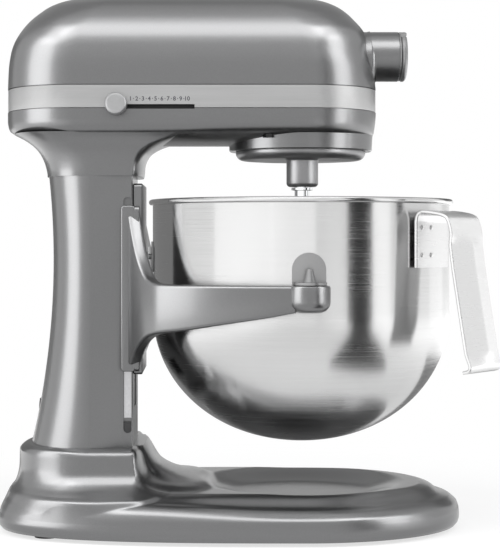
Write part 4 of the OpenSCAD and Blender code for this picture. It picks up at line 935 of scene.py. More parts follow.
    def castings(self) -> Shell:
        """The base's shell, from the top of the shoulder down, under and up its cavity."""
        first = self.shoulder_ring(self.shoulder[-1])
        low_rows, high_rows = self.edge()
        rim = self.outline(high_rows[0, 0], high_rows[0, 2])
        w = np.linspace(1, 0, 150)[:, None, None]
        over = rim * (1 - w) + first * w
        z = self.height(over[..., 0], over[..., 1])
        z[0] = self.shoulder_z
        rings = [np.dstack([over, z])]
        rings += [level(self.outline(inset, roll), up)[None]
                  for inset, up, roll in low_rows[::-1][1:]]
        rings.append(level(self.outline(self.rim - 1), self.foot_z)[None])
        last = self.shoulder_ring(self.shoulder[-1], self.rim)
        w = np.linspace(0, 1, 60)[:, None, None]
        under = self.outline(self.rim) * (1 - w) + last * w
        low = np.minimum(self.height(under[..., 0], under[..., 1]) - self.skin, self.cavity_top)
        rings.append(np.dstack([under, low]))
        pad = np.array([[0, 3], [12.4, 3], [13, 3.6], [13, 23], [0, 23]])
        pads = [turned(pad, (x, y, 0), count=40) for x, y in self.pads]
        t = self.rib_t / 2
        ribs = [block((x - t, -half, self.foot_z), (x + t, half, self.rib_z), 0.5)
                for x, half in self.ribs]
        back, nose = self.spine
        ribs.append(block((back, -t, self.foot_z), (nose, t, self.rib_z), 0.5))
        return joined([loft(np.concatenate(rings)), *pads, *ribs])

    def make(self) -> list[bpy.types.Object]:
        """Builds the base."""
        return [show("base_shell", self.castings(), BODY_PAINT, "root", ["base_casting"])]


@dataclass
class ColumnCasting:
    """Column: straight front rail with its two side grooves, rounded back flared at the foot."""

    low: float = 67.5
    top: float = 277.0
    front: float = 85.0
    rail_half: float = 46.0
    turn: float = 117.0
    half: float = 48.0
    spread: float = 11.0
    waist_back: float = 150.0
    waist_z: float = 211.0
    flare: float = 17.0
    groove_x: float = -88.9
    groove_r: float = 3.3
    groove_low: float = 78.0
    groove_high: float = 260.5
    groove_depth: float = 4.0
    top_flare: float = 3.5
    cheek: float = 11.0
    wall: float = 5.0
    front_wall: float = 8.0
    floor_t: float = 9.0
    roof_t: float = 8.0
    bore: float = 9.03
    boss_r: float = 14.0
    gland_z: float = 92.0
    lever: Point = (-108.0, 0.0, 190.0)

    def grooves(self, z: Array, rail: float) -> tuple[Array, Array]:
        """Plan points of one side groove at each height; its two ends are half-rounds."""
        below, above = self.groove_low + self.groove_r - z, z - self.groove_high + self.groove_r
        near = np.clip(np.maximum(below, above), 0, None)
        half = np.sqrt(np.maximum(self.groove_r ** 2 - near ** 2, 0.0))[:, None]
        sunk = rail - np.where(half > 0, self.groove_depth, 0.0)
        half = np.maximum(half, 0.03)
        x, lip = self.groove_x, np.full((len(z), 1), rail)
        return (np.hstack([x + half, x + half, x - half, x - half]),
                np.hstack([lip, sunk, sunk, lip]))

    def rings(self, z: Array, inset: float = 0.0, front_inset: float = 0.0,
              groove: bool = True) -> Array:
        """Rings of the column at heights z.

        Back: rear = waist_back + flare d^2 + top_flare u^2, where d falls from 1 at the foot
        to 0 at the waist and u rises from 0 there to 1 at the top. Side: half + spread
        ((top - z) / height)^1.5.
        """
        z = np.asarray(z, float)
        below = np.maximum(0, (self.waist_z - z) / (self.waist_z - self.low))
        above = np.maximum(0, (z - self.waist_z) / (self.top - self.waist_z))
        rear = self.waist_back + self.flare * below ** 2 + self.top_flare * above ** 2 - inset
        depth = ((self.top - z) / (self.top - self.low)).clip(0)
        rear, side = rear[:, None], (self.half + self.spread * depth ** 1.5 - inset)[:, None]
        a = arc(90, 270, 120)[None]
        back_x = -self.turn + (rear - self.turn) * signed_power(np.cos(a), 0.95)
        back_y = side * signed_power(np.sin(a), 0.95)
        rail, face = self.rail_half - inset, -self.front - front_inset
        end, bevel = -self.front - self.cheek - inset / 2, 1.0
        ones = np.ones((len(z), 1))
        gx = gy = np.zeros((len(z), 0))
        if groove:
            gx, gy = self.grooves(z, rail)
        xs = np.hstack([ones * [face - bevel, face, face, face - bevel], gx, ones * end, back_x,
                        ones * end, gx[:, ::-1]])
        ys = np.hstack([ones * [-rail, -rail + bevel, rail - bevel, rail], gy, ones * rail, back_y,
                        ones * -rail, -gy[:, ::-1]])
        return np.dstack([xs, ys, np.broadcast_to(z[:, None], xs.shape)])

    def make(self) -> list[bpy.types.Object]:
        """Builds the column, hollow, with its front slot and the lever's boss."""
        round_end = self.groove_r * (1 - np.cos(arc(0, 90, 8)))
        levels = np.unique(np.concatenate([
            np.linspace(self.low, self.top, 48), self.groove_low + round_end,
            self.groove_high - round_end, [self.groove_low - 0.02, self.groove_high + 0.02],
        ]).round(4))
        inner = np.linspace(self.low + self.floor_t, self.top - self.roof_t, 24)
        cavity = loft(self.rings(inner, self.wall, self.front_wall, False), outward=False)
        mesh = carve(joined([loft(self.rings(levels)), cavity]), [
            block((-94, -14, 95), (-84, 14, 262.5), 0.3),
            drum(self.bore, 30, 60, self.lever, Axis.Y),
            drum(self.bore, -172, -140, (0, 0, self.gland_z), Axis.X)])
        boss = turned(np.array([[self.bore, 31], [self.boss_r, 31], [self.boss_r, 51.4],
                                [self.boss_r - 0.4, 51.8], [self.bore, 51.8]]),
                      self.lever, Axis.Y, 64, closed=True)
        return [show("column_shell", mesh, BODY_PAINT, "root", ["column_casting"]),
                show("lever_boss", boss, BODY_PAINT, "root")]


@dataclass
class HeadCastings:
    """Head: lower shell with its neck and skirt, crown shell with the hub, and the trim band.

    A row of lower, upper or neck is a height above the shell's foot (a share of crown_h in
    upper) and how far the outline is drawn in there at back, front and sides; the neck grows.
    """

    axis_x: float = 47.0
    back: float = 186.5
    nose: float = 60.0
    half: float = 62.0
    rounding: float = 57.0
    under: float = 302.0
    band_low: float = 328.0
    band_high: float = 346.3
    band_gap: float = 0.35
    band_t: float = 2.0
    top: float = 420.0
    crown_h: float = 73.7
    seam: float = 0.05
    wall: float = 4.0
    seat: float = 2.03
    seat_t: float = 2.6
    floor_t: float = 6.0
    hub_x: float = 91.0
    hub_z: float = 373.6
    hub_r: float = 19.8
    hub_bore: float = 14.23
    hub_start: float = 2.0
    hub_end: float = 34.0
    root_r: float = 18.2
    root_drop: float = 3.5
    root_end: float = 15.0
    fillet: float = 4.0
    drive_r: float = 51.53
    bearing_r: float = 16.03
    screw_r: float = 5.2
    column_top: float = 277.0
    neck_back: float = 153.5
    neck_front: float = 86.5
    neck_half: float = 48.0
    neck_wall: float = 5.0
    neck_end: float = 310.5
    lower: tuple = ((0, 34, 20, 58), (1, 27, 14, 44), (2.2, 21, 10, 30), (4.5, 15, 6, 15),
                    (7.3, 9.5, 3.8, 5.5), (9, 5.5, 1.9, 2.8), (11.3, 1.9, 1.5, 1.2),
                    (14, 0.8, 1, 0.4), (19, 0, 0.4, 0), (26, 0, 0, 0))
    upper: tuple = ((0, 0, 0, 0), (0.22, 0.7, 1.9, 0.6), (0.4, 2.6, 5.1, 2.2), (0.5, 5, 6.3, 3.8),
                    (0.6, 9.1, 8.4, 6.6), (0.68, 13.4, 12.2, 10), (0.74, 17.4, 16.2, 13.2),
                    (0.82, 24.4, 22, 18.6), (0.9, 33, 30.3, 26), (0.96, 44, 41, 35.5),
                    (0.99, 54, 52, 45), (1, 62, 62, 55))
    neck: tuple = ((0, 1.2, 8, 0), (1, 1.2, 8.4, 0), (9.5, 2.9, 9.2, 0.4), (18, 6.7, 13, 1.5),
                   (24, 11.8, 21.5, 3.4), (29, 18.6, 35, 6.3), (33.5, 27.2, 47, 10))
    screws: tuple = ((-150, 40), (-150, -40), (20, 50.6), (20, -50.6))

    def ring(self, z: float, back: float, nose: float, half: float, inset: float = 0.0) -> Array:
        """Plan of the head at a height, drawn in at its back, nose and sides."""
        outline = plan(-self.back + back + inset, self.axis_x + self.nose - nose - inset,
                       max(self.half - half - inset, 0.02),
                       max(self.rounding - back * 0.2 - inset, 1),
                       max(self.rounding - nose * 0.2 - inset, 1), count=64, side=8)
        return level(outline, z)

    def cut_for_drive(self) -> list[Shell]:
        """Cutters for the ring gear, its bearing, the speed lever's slot and the screws."""
        drive = turned(np.array([[0, 290], [self.drive_r, 290], [self.drive_r, 312], [10, 312],
                                 [10, 313], [self.bearing_r, 313], [self.bearing_r, 326],
                                 [0, 326]]), (self.axis_x, 0, 0), count=128)
        heads = [drum(self.screw_r, 299, 309, (x, y, 0), count=32) for x, y in self.screws]
        return [drive, self.slot_cutter(), *heads]

    def slot_cutter(self) -> Shell:
        """Cutter for the speed lever's slot."""
        return block((-100.7, -63, 327.4), (-37.1, -49, 330.95), 0.05)

    def lower_shell(self) -> bpy.types.Mesh:
        """Outer rows up to the band's seat, over the edge, and down inside to the floor."""
        rows = flowing([(self.under + r[0], *r[1:]) for r in self.lower], 34)
        rings = [self.ring(*r) for r in rows]
        inner = self.seat + self.seat_t
        for z, inset in ((self.band_low, 0.6), (self.band_low + 0.01, self.seat),
                         (self.band_high, self.seat), (self.band_high, inner),
                         (self.band_low - 2, inner)):
            rings.append(self.ring(z, 0, 0, 0, inset))
        rings.append(self.ring(self.under + 2 * self.floor_t, 4, 4, 6, self.wall))
        rings.append(self.ring(self.under + self.floor_t, 20, 14, 20, self.wall))
        return carve(loft(np.stack(rings)), self.cut_for_drive())

    def neck_ring(self, row: Sequence[float], inset: float) -> Array:
        """Ring of the neck for one row of its table, drawn in by inset."""
        outline = plan(-self.neck_back - row[1] + inset, -self.neck_front + row[2] - inset,
                       self.neck_half + row[3] - inset, 36, 10, 2.3, 3, 48, 4)
        return level(outline, row[0])

    def neck_shell(self) -> Shell:
        """Neck between column and head: it flares into the head's underside."""
        rows = flowing([(self.column_top + r[0], *r[1:]) for r in self.neck], 30)
        outer = [self.neck_ring(r, 0) for r in rows]
        outer.append(self.neck_ring((self.neck_end, *rows[-1][1:]), self.neck_wall))
        inner = [self.neck_ring(r, self.neck_wall) for r in rows[8:][::-1]]
        return loft(np.stack(outer + inner))

    def skirt(self) -> Shell:
        """Skirt round the planetary drive, with a rolled lower lip."""
        return turned(np.array([[self.drive_r, 298.2], [52.1, 297.6], [56.1, 297.6], [56.8, 298.3],
                                [57.5, 311], [self.drive_r, 311]]),
                      (self.axis_x, 0, 0), count=160, closed=True)

    def crown_rows(self, inset: float, low: float, high: float, count: int) -> list[Array]:
        """Rings of the crown from its seam to its top, drawn in by inset."""
        table = [(r[0] * self.crown_h, *r[1:]) for r in self.upper]
        rows = flowing([*table, (self.crown_h, 69, 69, 61.9)], count)
        return [self.ring(low + (high - low) * r[0] / self.crown_h, *r[1:], inset) for r in rows]

    def crown_shell(self) -> bpy.types.Mesh:
        """Crown: inside from its top down to the seam, then outside back up."""
        foot = self.band_high + self.seam
        inside = self.crown_rows(self.wall, foot, self.top - self.wall, 40)[::-1]
        outside = self.crown_rows(0, foot, self.top, 90)
        bore = drum(self.hub_bore, 0, 80, (self.axis_x + 20, 0, self.hub_z), Axis.X, 96)
        return carve(loft(np.stack(inside + outside)), [bore])

    def hub(self) -> Shell:
        """Hub: a tube, and a quarter-round fillet on a lower axis, which shows below only."""
        a, r = arc(0, 90, 12), self.hub_r
        fillet = np.stack([r + self.fillet - self.fillet * np.sin(a),
                           self.root_end - self.fillet * np.cos(a)], axis=1)
        root = turned(np.vstack([[[self.root_r, self.hub_start], [r + 2, self.hub_start],
                                  [r + self.fillet, self.root_end - self.fillet]],
                                 fillet, [[self.root_r, self.root_end]]]),
                      (self.hub_x, 0, self.hub_z - self.root_drop), Axis.X, 128, closed=True)
        tube = turned(np.array([[self.hub_bore, self.hub_start], [r, self.hub_start],
                                [r, self.hub_end - 0.6], [r - 0.6, self.hub_end],
                                [self.hub_bore, self.hub_end]]),
                      (self.hub_x, 0, self.hub_z), Axis.X, 128, closed=True)
        return joined([tube, root])

    def band(self) -> bpy.types.Mesh:
        """Trim band: a strip a hair inside the shells, with a fine gap above and below."""
        lo, hi = self.band_low + self.band_gap, self.band_high - self.band_gap
        rows = ((lo, 0.9), (lo + 0.2, 0.5), (lo + 0.8, 0.3), (hi - 0.8, 0.3), (hi - 0.2, 0.5),
                (hi, 0.9), (hi, self.band_t), (lo, self.band_t))
        rings = np.stack([self.ring(z, 0, 0, 0, inset) for z, inset in rows])
        return carve(loft(rings, closed_rows=True), [self.slot_cutter()])

    def make(self) -> list[bpy.types.Object]:
        """Builds the head's shells and its band."""
        return [
            show("head_lower_shell", self.lower_shell(), BODY_PAINT, "root", ["head_lower"]),
            show("head_neck", self.neck_shell(), BODY_PAINT, "root"),
            show("drive_skirt", self.skirt(), BODY_PAINT, "root"),
            show("head_crown", self.crown_shell(), BODY_PAINT, "root", ["head_cover"]),
            show("hub_barrel", self.hub(), BODY_PAINT, "root"),
            show("trim_strip", self.band(), BAND_METAL, "root", ["trim_band"])]


@dataclass
class SpeedScale:
    """Speed numbers above the slot, with a small dot between each two, and the speed knob."""

    first_x: float = -86.05
    last_x: float = -42.85
    number_z: float = 333.7
    height: float = 3.1
    face_y: float = -61.7
    knob: Point = (-96.7, -64.0, 330.7)
    knob_r: float = 8.3
    knob_h: float = 12.0
    knob_edge: float = 2.5
    digit_share: float = 0.69
    raised: float = 0.03
    bold: float = 0.11

    def numbers(self) -> bpy.types.Mesh:
        """The numbers 1 to 10 and the nine dots between them, upright on the band's side."""
        build = bmesh.new()
        for k, x in enumerate(np.linspace(self.first_x, self.last_x, 19)):
            curve = bpy.data.curves.new("number", "FONT")
            curve.body = "\u00b7" if k % 2 else str(k // 2 + 1)
            curve.align_x, curve.resolution_u = "CENTER", 3
            curve.size = self.height * METRE / self.digit_share
            curve.extrude, curve.offset = self.raised * METRE, self.bold * METRE
            glyph = bpy.data.objects.new("number", curve)
            mesh = bpy.data.meshes.new_from_object(glyph)
            points = np.empty(len(mesh.vertices) * 3)
            mesh.vertices.foreach_get("co", points)
            flat = points.reshape(-1, 3)
            placed = np.stack([flat[:, 0] + x * METRE, self.face_y * METRE - flat[:, 2],
                               flat[:, 1] + self.number_z * METRE], axis=1)
            mesh.vertices.foreach_set("co", placed.ravel())
            build.from_mesh(mesh)
            bpy.data.objects.remove(glyph)
            bpy.data.curves.remove(curve)
            bpy.data.meshes.remove(mesh)
        bmesh.ops.recalc_face_normals(build, faces=build.faces)
        result = bpy.data.meshes.new("numbers")
        build.to_mesh(result)
        build.free()
        return result

    def knob_shell(self) -> Shell:
        """Knob: a low drum with a bevelled foot and a rounded face, turned about Y."""
        a, e = arc(0, 90, 8), self.knob_edge
        face = np.stack([self.knob_r - e + e * np.cos(a), e - self.knob_h - e * np.sin(a)], axis=1)
        return turned(np.vstack([[[0, 0], [self.knob_r - 1.4, 0], [self.knob_r, -1.4]], face,
                                 [[3, -self.knob_h - 0.02], [0, -self.knob_h]]]),
                      self.knob, Axis.Y, 96)

    def make(self) -> list[bpy.types.Object]:
        """Builds the numbers and the knob."""
        return [show("speed_numbers", self.numbers(), DARK_PLASTIC, "root"),
                show("speed_button", self.knob_shell(), KNOB_METAL, "speed_lever",
                     ["speed_knob"])]


# --- Drive ---------------------------------------------------------------------------------


@dataclass
class PlanetaryDrive:
    """Planetary disc with its rolled edge and the beater shaft's housing."""

    axis_x: float = 47.0
    offset: float = 28.0
    disc_r: float = 51.6
    disc_z: float = 290.6
    disc_edge: float = 6.0
    disc_top: float = 299.8
    step_r: float = 50.5
    step_z: float = 297.2
    house_r: float = 12.4
    house_z: float = 268.7
    house_edge: float = 3.0
    house_root: float = 2.0
    shaft_r: float = 8.03

    def disc(self) -> Shell:
        """Disc: a flat face, a rolled edge and a step that enters the skirt."""
        a, e = arc(0, 90, 12), self.disc_edge
        edge = np.stack([self.disc_r - e + e * np.sin(a), self.disc_z + e - e * np.cos(a)], axis=1)
        rows = [[self.disc_r, self.step_z], [self.step_r, self.step_z],
                [self.step_r, self.disc_top], [0, self.disc_top]]
        return turned(np.vstack([[[0, self.disc_z]], edge, rows]), (self.axis_x, 0, 0), count=192)

    def house(self) -> Shell:
        """Housing of the beater shaft: a tube with a rounded nose and a filleted root."""
        a, e, f = arc(0, 90, 12), self.house_edge, self.house_root
        r, z, top = self.house_r, self.house_z, self.disc_z + self.house_root
        nose = np.stack([r - e + e * np.sin(a), z + e - e * np.cos(a)], axis=1)
        root = np.stack([r + f - f * np.cos(a), self.disc_z - f + f * np.sin(a)], axis=1)
        return turned(np.vstack([[[self.shaft_r, z]], nose, root,
                                 [[r + f, top], [self.shaft_r, top]]]),
                      (self.axis_x, -self.offset, 0), count=96, closed=True)

    def make(self) -> list[bpy.types.Object]:
        """Builds the disc and the housing."""
        return [show("planetary_disc", joined([self.disc(), self.house()]), SATIN_ALLOY,
                     "planetary", ["planet_carrier"])]


@dataclass
class HubCap:
    """Hinged cap of the hub: a domed disc with a cut for its knuckle."""

    face_x: float = 126.3
    hub_z: float = 373.6
    radius: float = 19.8
    knuckle_half: float = 5.0
    knuckle_r: float = 2.1
    hinge: Point = (129.0, 0.0, 390.7)

    def disc(self) -> bpy.types.Mesh:
        """Domed disc, cut straight below the hinge."""
        r = self.radius
        dome = flowing([(r, 0.9), (r, 2.4), (r - 0.5, 3.6), (r - 1.8, 4.5), (r - 4.5, 5.0),
                        (9, 5.45), (0, 5.6)], 40)
        disc = turned(np.vstack([[[0, 0], [r - 0.9, 0]], dome]), (self.face_x, 0, self.hub_z),
                      Axis.X, 128)
        return carve(disc, [block((120, -25, 388.2), (140, 25, 400), 0.1)])

    def knuckle(self) -> Shell:
        """Knuckle on the hinge pin and the tab that joins it to the disc."""
        r, h = self.knuckle_r, self.knuckle_half
        barrel = np.array([[0, -h], [r - 0.3, -h], [r, 0.3 - h], [r, h - 0.3], [r - 0.3, h],
                           [0, h]])
        return joined([turned(barrel, self.hinge, Axis.Y, 40),
                       block((128.4, -h, 387.4), (131.0, h, 389.9), 0.3)])

    def make(self) -> list[bpy.types.Object]:
        """Builds the cap and its knuckle."""
        return [show("hub_cap_disc", self.disc(), CAP_METAL, "hub_cap", ["hub_cap"]),
                show("hub_cap_knuckle", self.knuckle(), CAP_METAL, "hub_cap")]


# --- Bowl ----------------------------------------------------------------------------------


@dataclass
class Bowl:
    """Spun steel bowl with a rolled rim, its strap handle and its brackets' rivets.

    A row of path is the strap's distance from the bowl's wall and its height. A row of spot or
    rivet is a radius and a height on its head; spots and rivets are their places as a distance
    sideways and a height.
    """

    axis_x: float = 47.0
    radius: float = 118.0
    top: float = 259.2
    bend: float = 172.0
    low: float = 68.0
    sheet: float = 1.2
    rim: float = 2.2
    handle_turn: float = -37.0
    handle_w: float = 48.0
    handle_t: float = 2.6
    plate_t: float = 1.2
    crease: float = 4.0
    crease_at: float = 3.0
    power: float = 2 / 2.08
    gap: float = 1.3
    spot: tuple = ((0, 0), (1.9, 0), (1.7, 0.35), (1.0, 0.6), (0, 0.7))
    spots: tuple = ((-15.7, 215.8), (-15.7, 236.6), (-2.0, 215.8), (-2.0, 236.6))
    rivet: tuple = ((0, 0), (1.1, 0), (1.0, 0.3), (0.6, 0.6), (0, 0.7))
    rivets: tuple = ((0.4, 211.5), (-8.9, 204.3), (9.7, 204.3))
    path: tuple = ((1.3, 206.4), (1.3, 240), (2.5, 245.5), (6, 248.2), (21, 246.3), (26.4, 244.2),
                   (29.2, 239.8), (35.1, 205), (41.9, 165), (46.3, 139), (47, 133.9), (45.5, 130.9),
                   (41, 129.6))

    def wall(self, inset: float) -> Array:
        """Round bottom: r = (radius - inset) sin^p a, z = bend - depth cos^p a."""
        a = arc(0, 90, 69)
        depth = self.bend - self.low - inset
        return np.stack([(self.radius - inset) * signed_power(np.sin(a), self.power),
                         self.bend - depth * signed_power(np.cos(a), self.power)], axis=1)

    def shell(self) -> Shell:
        """Bowl: outside up from the pole, round the rolled rim and down inside."""
        a = arc(-90, 180, 24)
        lip = np.stack([self.radius + self.rim * 0.4 + self.rim * np.cos(a),
                        self.top - self.rim + self.rim * np.sin(a)], axis=1)
        lip[:, 0] = np.maximum(lip[:, 0], self.radius - self.sheet)
        rows = np.linspace(self.bend + 2, self.top - 2 * self.rim, 20)
        outside = np.stack([np.full(20, self.radius), rows], axis=1)
        inside = np.stack([np.full(20, self.radius - self.sheet), rows[::-1]], axis=1)
        return turned(np.vstack([self.wall(0), outside, lip, inside, self.wall(self.sheet)[::-1]]),
                      (self.axis_x, 0, 0), count=256)

    def placed(self, shell: Shell) -> Shell:
        """A shell made along X, turned to the handle's direction about the bowl's axis."""
        t = math.radians(self.handle_turn)
        turn = np.array([[math.cos(t), math.sin(t), 0], [-math.sin(t), math.cos(t), 0], [0, 0, 1]])
        return Shell(shell.points @ turn + [self.axis_x, 0, 0], shell.faces)

    def strap_section(self) -> Array:
        """Rounded oblong of the strap, with a point for each step of its crease on both faces."""
        steps = np.linspace(-1, 1, 33)[1:-1] * (self.handle_w / 2 - 0.5)
        face = self.handle_t / 2 - 0.1
        upper = np.stack([steps[::-1], np.full(31, face)], axis=1)
        lower = np.stack([steps, np.full(31, -face)], axis=1)
        corner = rounded_box(self.handle_w, self.handle_t, self.handle_t * 0.42, 4)
        half = len(corner) // 4
        return np.vstack([corner[half * 3:], corner[:half], upper, corner[half:3 * half], lower])

    def handle(self) -> Shell:
        """Handle: a strap with rounded edges swept along its bent path, and its four weld spots.

        On the grip the strap has a soft crease: a point at distance d from the crease line is
        moved out by crease (0.5 - |d| / 25), faded in after the top bend and out at the curl.
        """
        line = flowing(self.path, 140)
        run = chord(line)
        fade = smoothstep((run - 76) / 12) * smoothstep((run[-1] - 6 - run) / 14)
        section = self.strap_section()
        away = np.sqrt((section[:, 0] - self.crease_at) ** 2 + 1.5)
        rows = np.repeat(section[None], len(line), axis=0)
        rows[..., 1] += self.crease * (0.5 - away / 25)[None] * fade[:, None]
        path = np.column_stack([self.radius + line[:, 0], np.zeros(len(line)), line[:, 1]])
        strap = swept(rows, path, np.repeat([[0.0, 1.0, 0.0]], len(line), axis=0))
        spot = turned(np.array(self.spot), (0, 0, 0), Axis.X, 24)
        out = self.radius + self.gap + self.handle_t / 2
        return self.placed(joined([strap, *[spot.moved((out, y, z)) for y, z in self.spots]]))

    def bracket_rivets(self) -> Shell:
        """Three small rivet heads on the face of each side bracket."""
        head = turned(np.array(self.rivet), (0, 0, 0), Axis.Y, 20)
        reach = self.radius + self.plate_t
        heads = []
        for side in (-1, 1):
            mirrored = Shell(head.points * [1, side, 1], head.faces)
            heads += [mirrored.moved((self.axis_x + x, side * math.sqrt(reach ** 2 - x * x), z))
                      .facing() for x, z in self.rivets]
        return joined(heads)

    def make(self) -> list[bpy.types.Object]:
        """Builds the bowl, its handle and the rivets of its brackets."""
        return [show("bowl_body", self.shell(), BOWL_STEEL, "bowl", ["bowl_shell"]),
                show("bracket_rivets", self.bracket_rivets(), POLISHED, "bowl"),
                show("bowl_strap_handle", self.handle(), HANDLE_STEEL, "bowl", ["bowl_handle"],
                     sharp=50)]


@dataclass
class Carriage:
    """Lifting carriage: front plate, cheeks over the column's rail, two arms and their bosses.

    A row of stations is an arm's x, its distance sideways, and its lower and upper edge there.
    """

    axis_x: float = 47.0
    arm_t: float = 10.0
    pin_half: float = 127.0
    boss_r: float = 15.2
    boss_top: float = 194.0
    boss_h: float = 19.8
    boss_round: float = 8.0
    boss_in: float = 1.8
    clear_r: float = 119.6
    cheek: tuple[float, float] = (46.3, 51.7)
    liner: tuple[float, float] = (43.3, 47.0)
    stations: tuple = ((-84, 48.5, 128.8, 249.7), (-79.5, 60, 141, 226), (-74.5, 71, 149, 208),
                       (-68.5, 82, 154.5, 197.5), (-61.5, 91.5, 157.2, 194.6),
                       (-46, 102, 159.6, 194), (-15, 115.5, 165, 194), (19, 124.5, 170.6, 194),
                       (37, 127.5, 174.2, 194))

    def arm(self, side: float) -> Shell:
        """One arm: a rounded bar of changing height carried along its plan curve."""
        rows = flowing(self.stations, 64)
        along = np.gradient(rows[:, :2], axis=0)
        along /= np.linalg.norm(along, axis=1, keepdims=True)
        normal = np.stack([-along[:, 1], along[:, 0]], axis=1)
        rings = []
        for row, n in zip(rows, normal):
            section = rounded_box(self.arm_t, row[3] - row[2], 2.8, 5)
            rings.append(np.column_stack([row[0] + n[0] * section[:, 0],
                                          (row[1] + n[1] * section[:, 0]) * side,
                                          (row[2] + row[3]) / 2 + section[:, 1]]))
        return loft(np.stack(rings))

    def boss(self, side: float) -> Shell:
        """Drum at the arm's end, rounded below, that carries a locating pin."""
        a, r, e = arc(0, 90, 12), self.boss_r, self.boss_round
        low = np.stack([r - e + e * np.cos(a), -(self.boss_h - e + e * np.sin(a))], axis=1)
        return turned(np.vstack([[[0, 0], [r - 1.6, 0], [r - 0.5, -0.5], [r, -1.6]], low,
                                 [[0, -self.boss_h]]]),
                      (self.axis_x, (self.pin_half - self.boss_in) * side, self.boss_top),
                      count=96)

    def plates(self) -> Shell:
        """Front plate in two layers, a cheek and a liner over each side of the rail, and a key."""
        blocks = [block((-84.7, -44, 123), (-77.7, 44, 271), 0.8, 3, Axis.X),
                  block((-84.7, -51.7, 125.8), (-79.7, 51.7, 253.7), 0.8, 4, Axis.X)]
        for (near, far), low, high, edges in (
                (self.cheek, (-93.8, 125.8), (-83, 253.7), (1.0, 2.5, Axis.Y)),
                (self.liner, (-91.9, 129.8), (-85.9, 249.7), (0.3,))):
            for start, end in ((-far, -near), (near, far)):
                blocks.append(block((low[0], start, low[1]), (high[0], end, high[1]), *edges))
        blocks.append(block((-93.3, -13.7, 135), (-84, 13.7, 253), 0.3))
        return joined(blocks)

    def make(self) -> list[bpy.types.Object]:
        """Builds the carriage, cleared for the bowl."""
        bowl = drum(self.clear_r, 100, 300, (self.axis_x, 0, 0), count=256)
        arms = []
        for side, word in ((-1.0, "near"), (1.0, "far")):
            for part, form in (("arm", self.arm(side)), ("boss", self.boss(side))):
                arms.append(show(f"carriage_{part}_{word}", carve(form, [bowl]), BODY_PAINT,
                                 "carriage"))
        return [show("carriage_plates", self.plates(), BODY_PAINT, "carriage", ["bowl_yoke"]),
                *arms]


# --- Studio --------------------------------------------------------------------------------


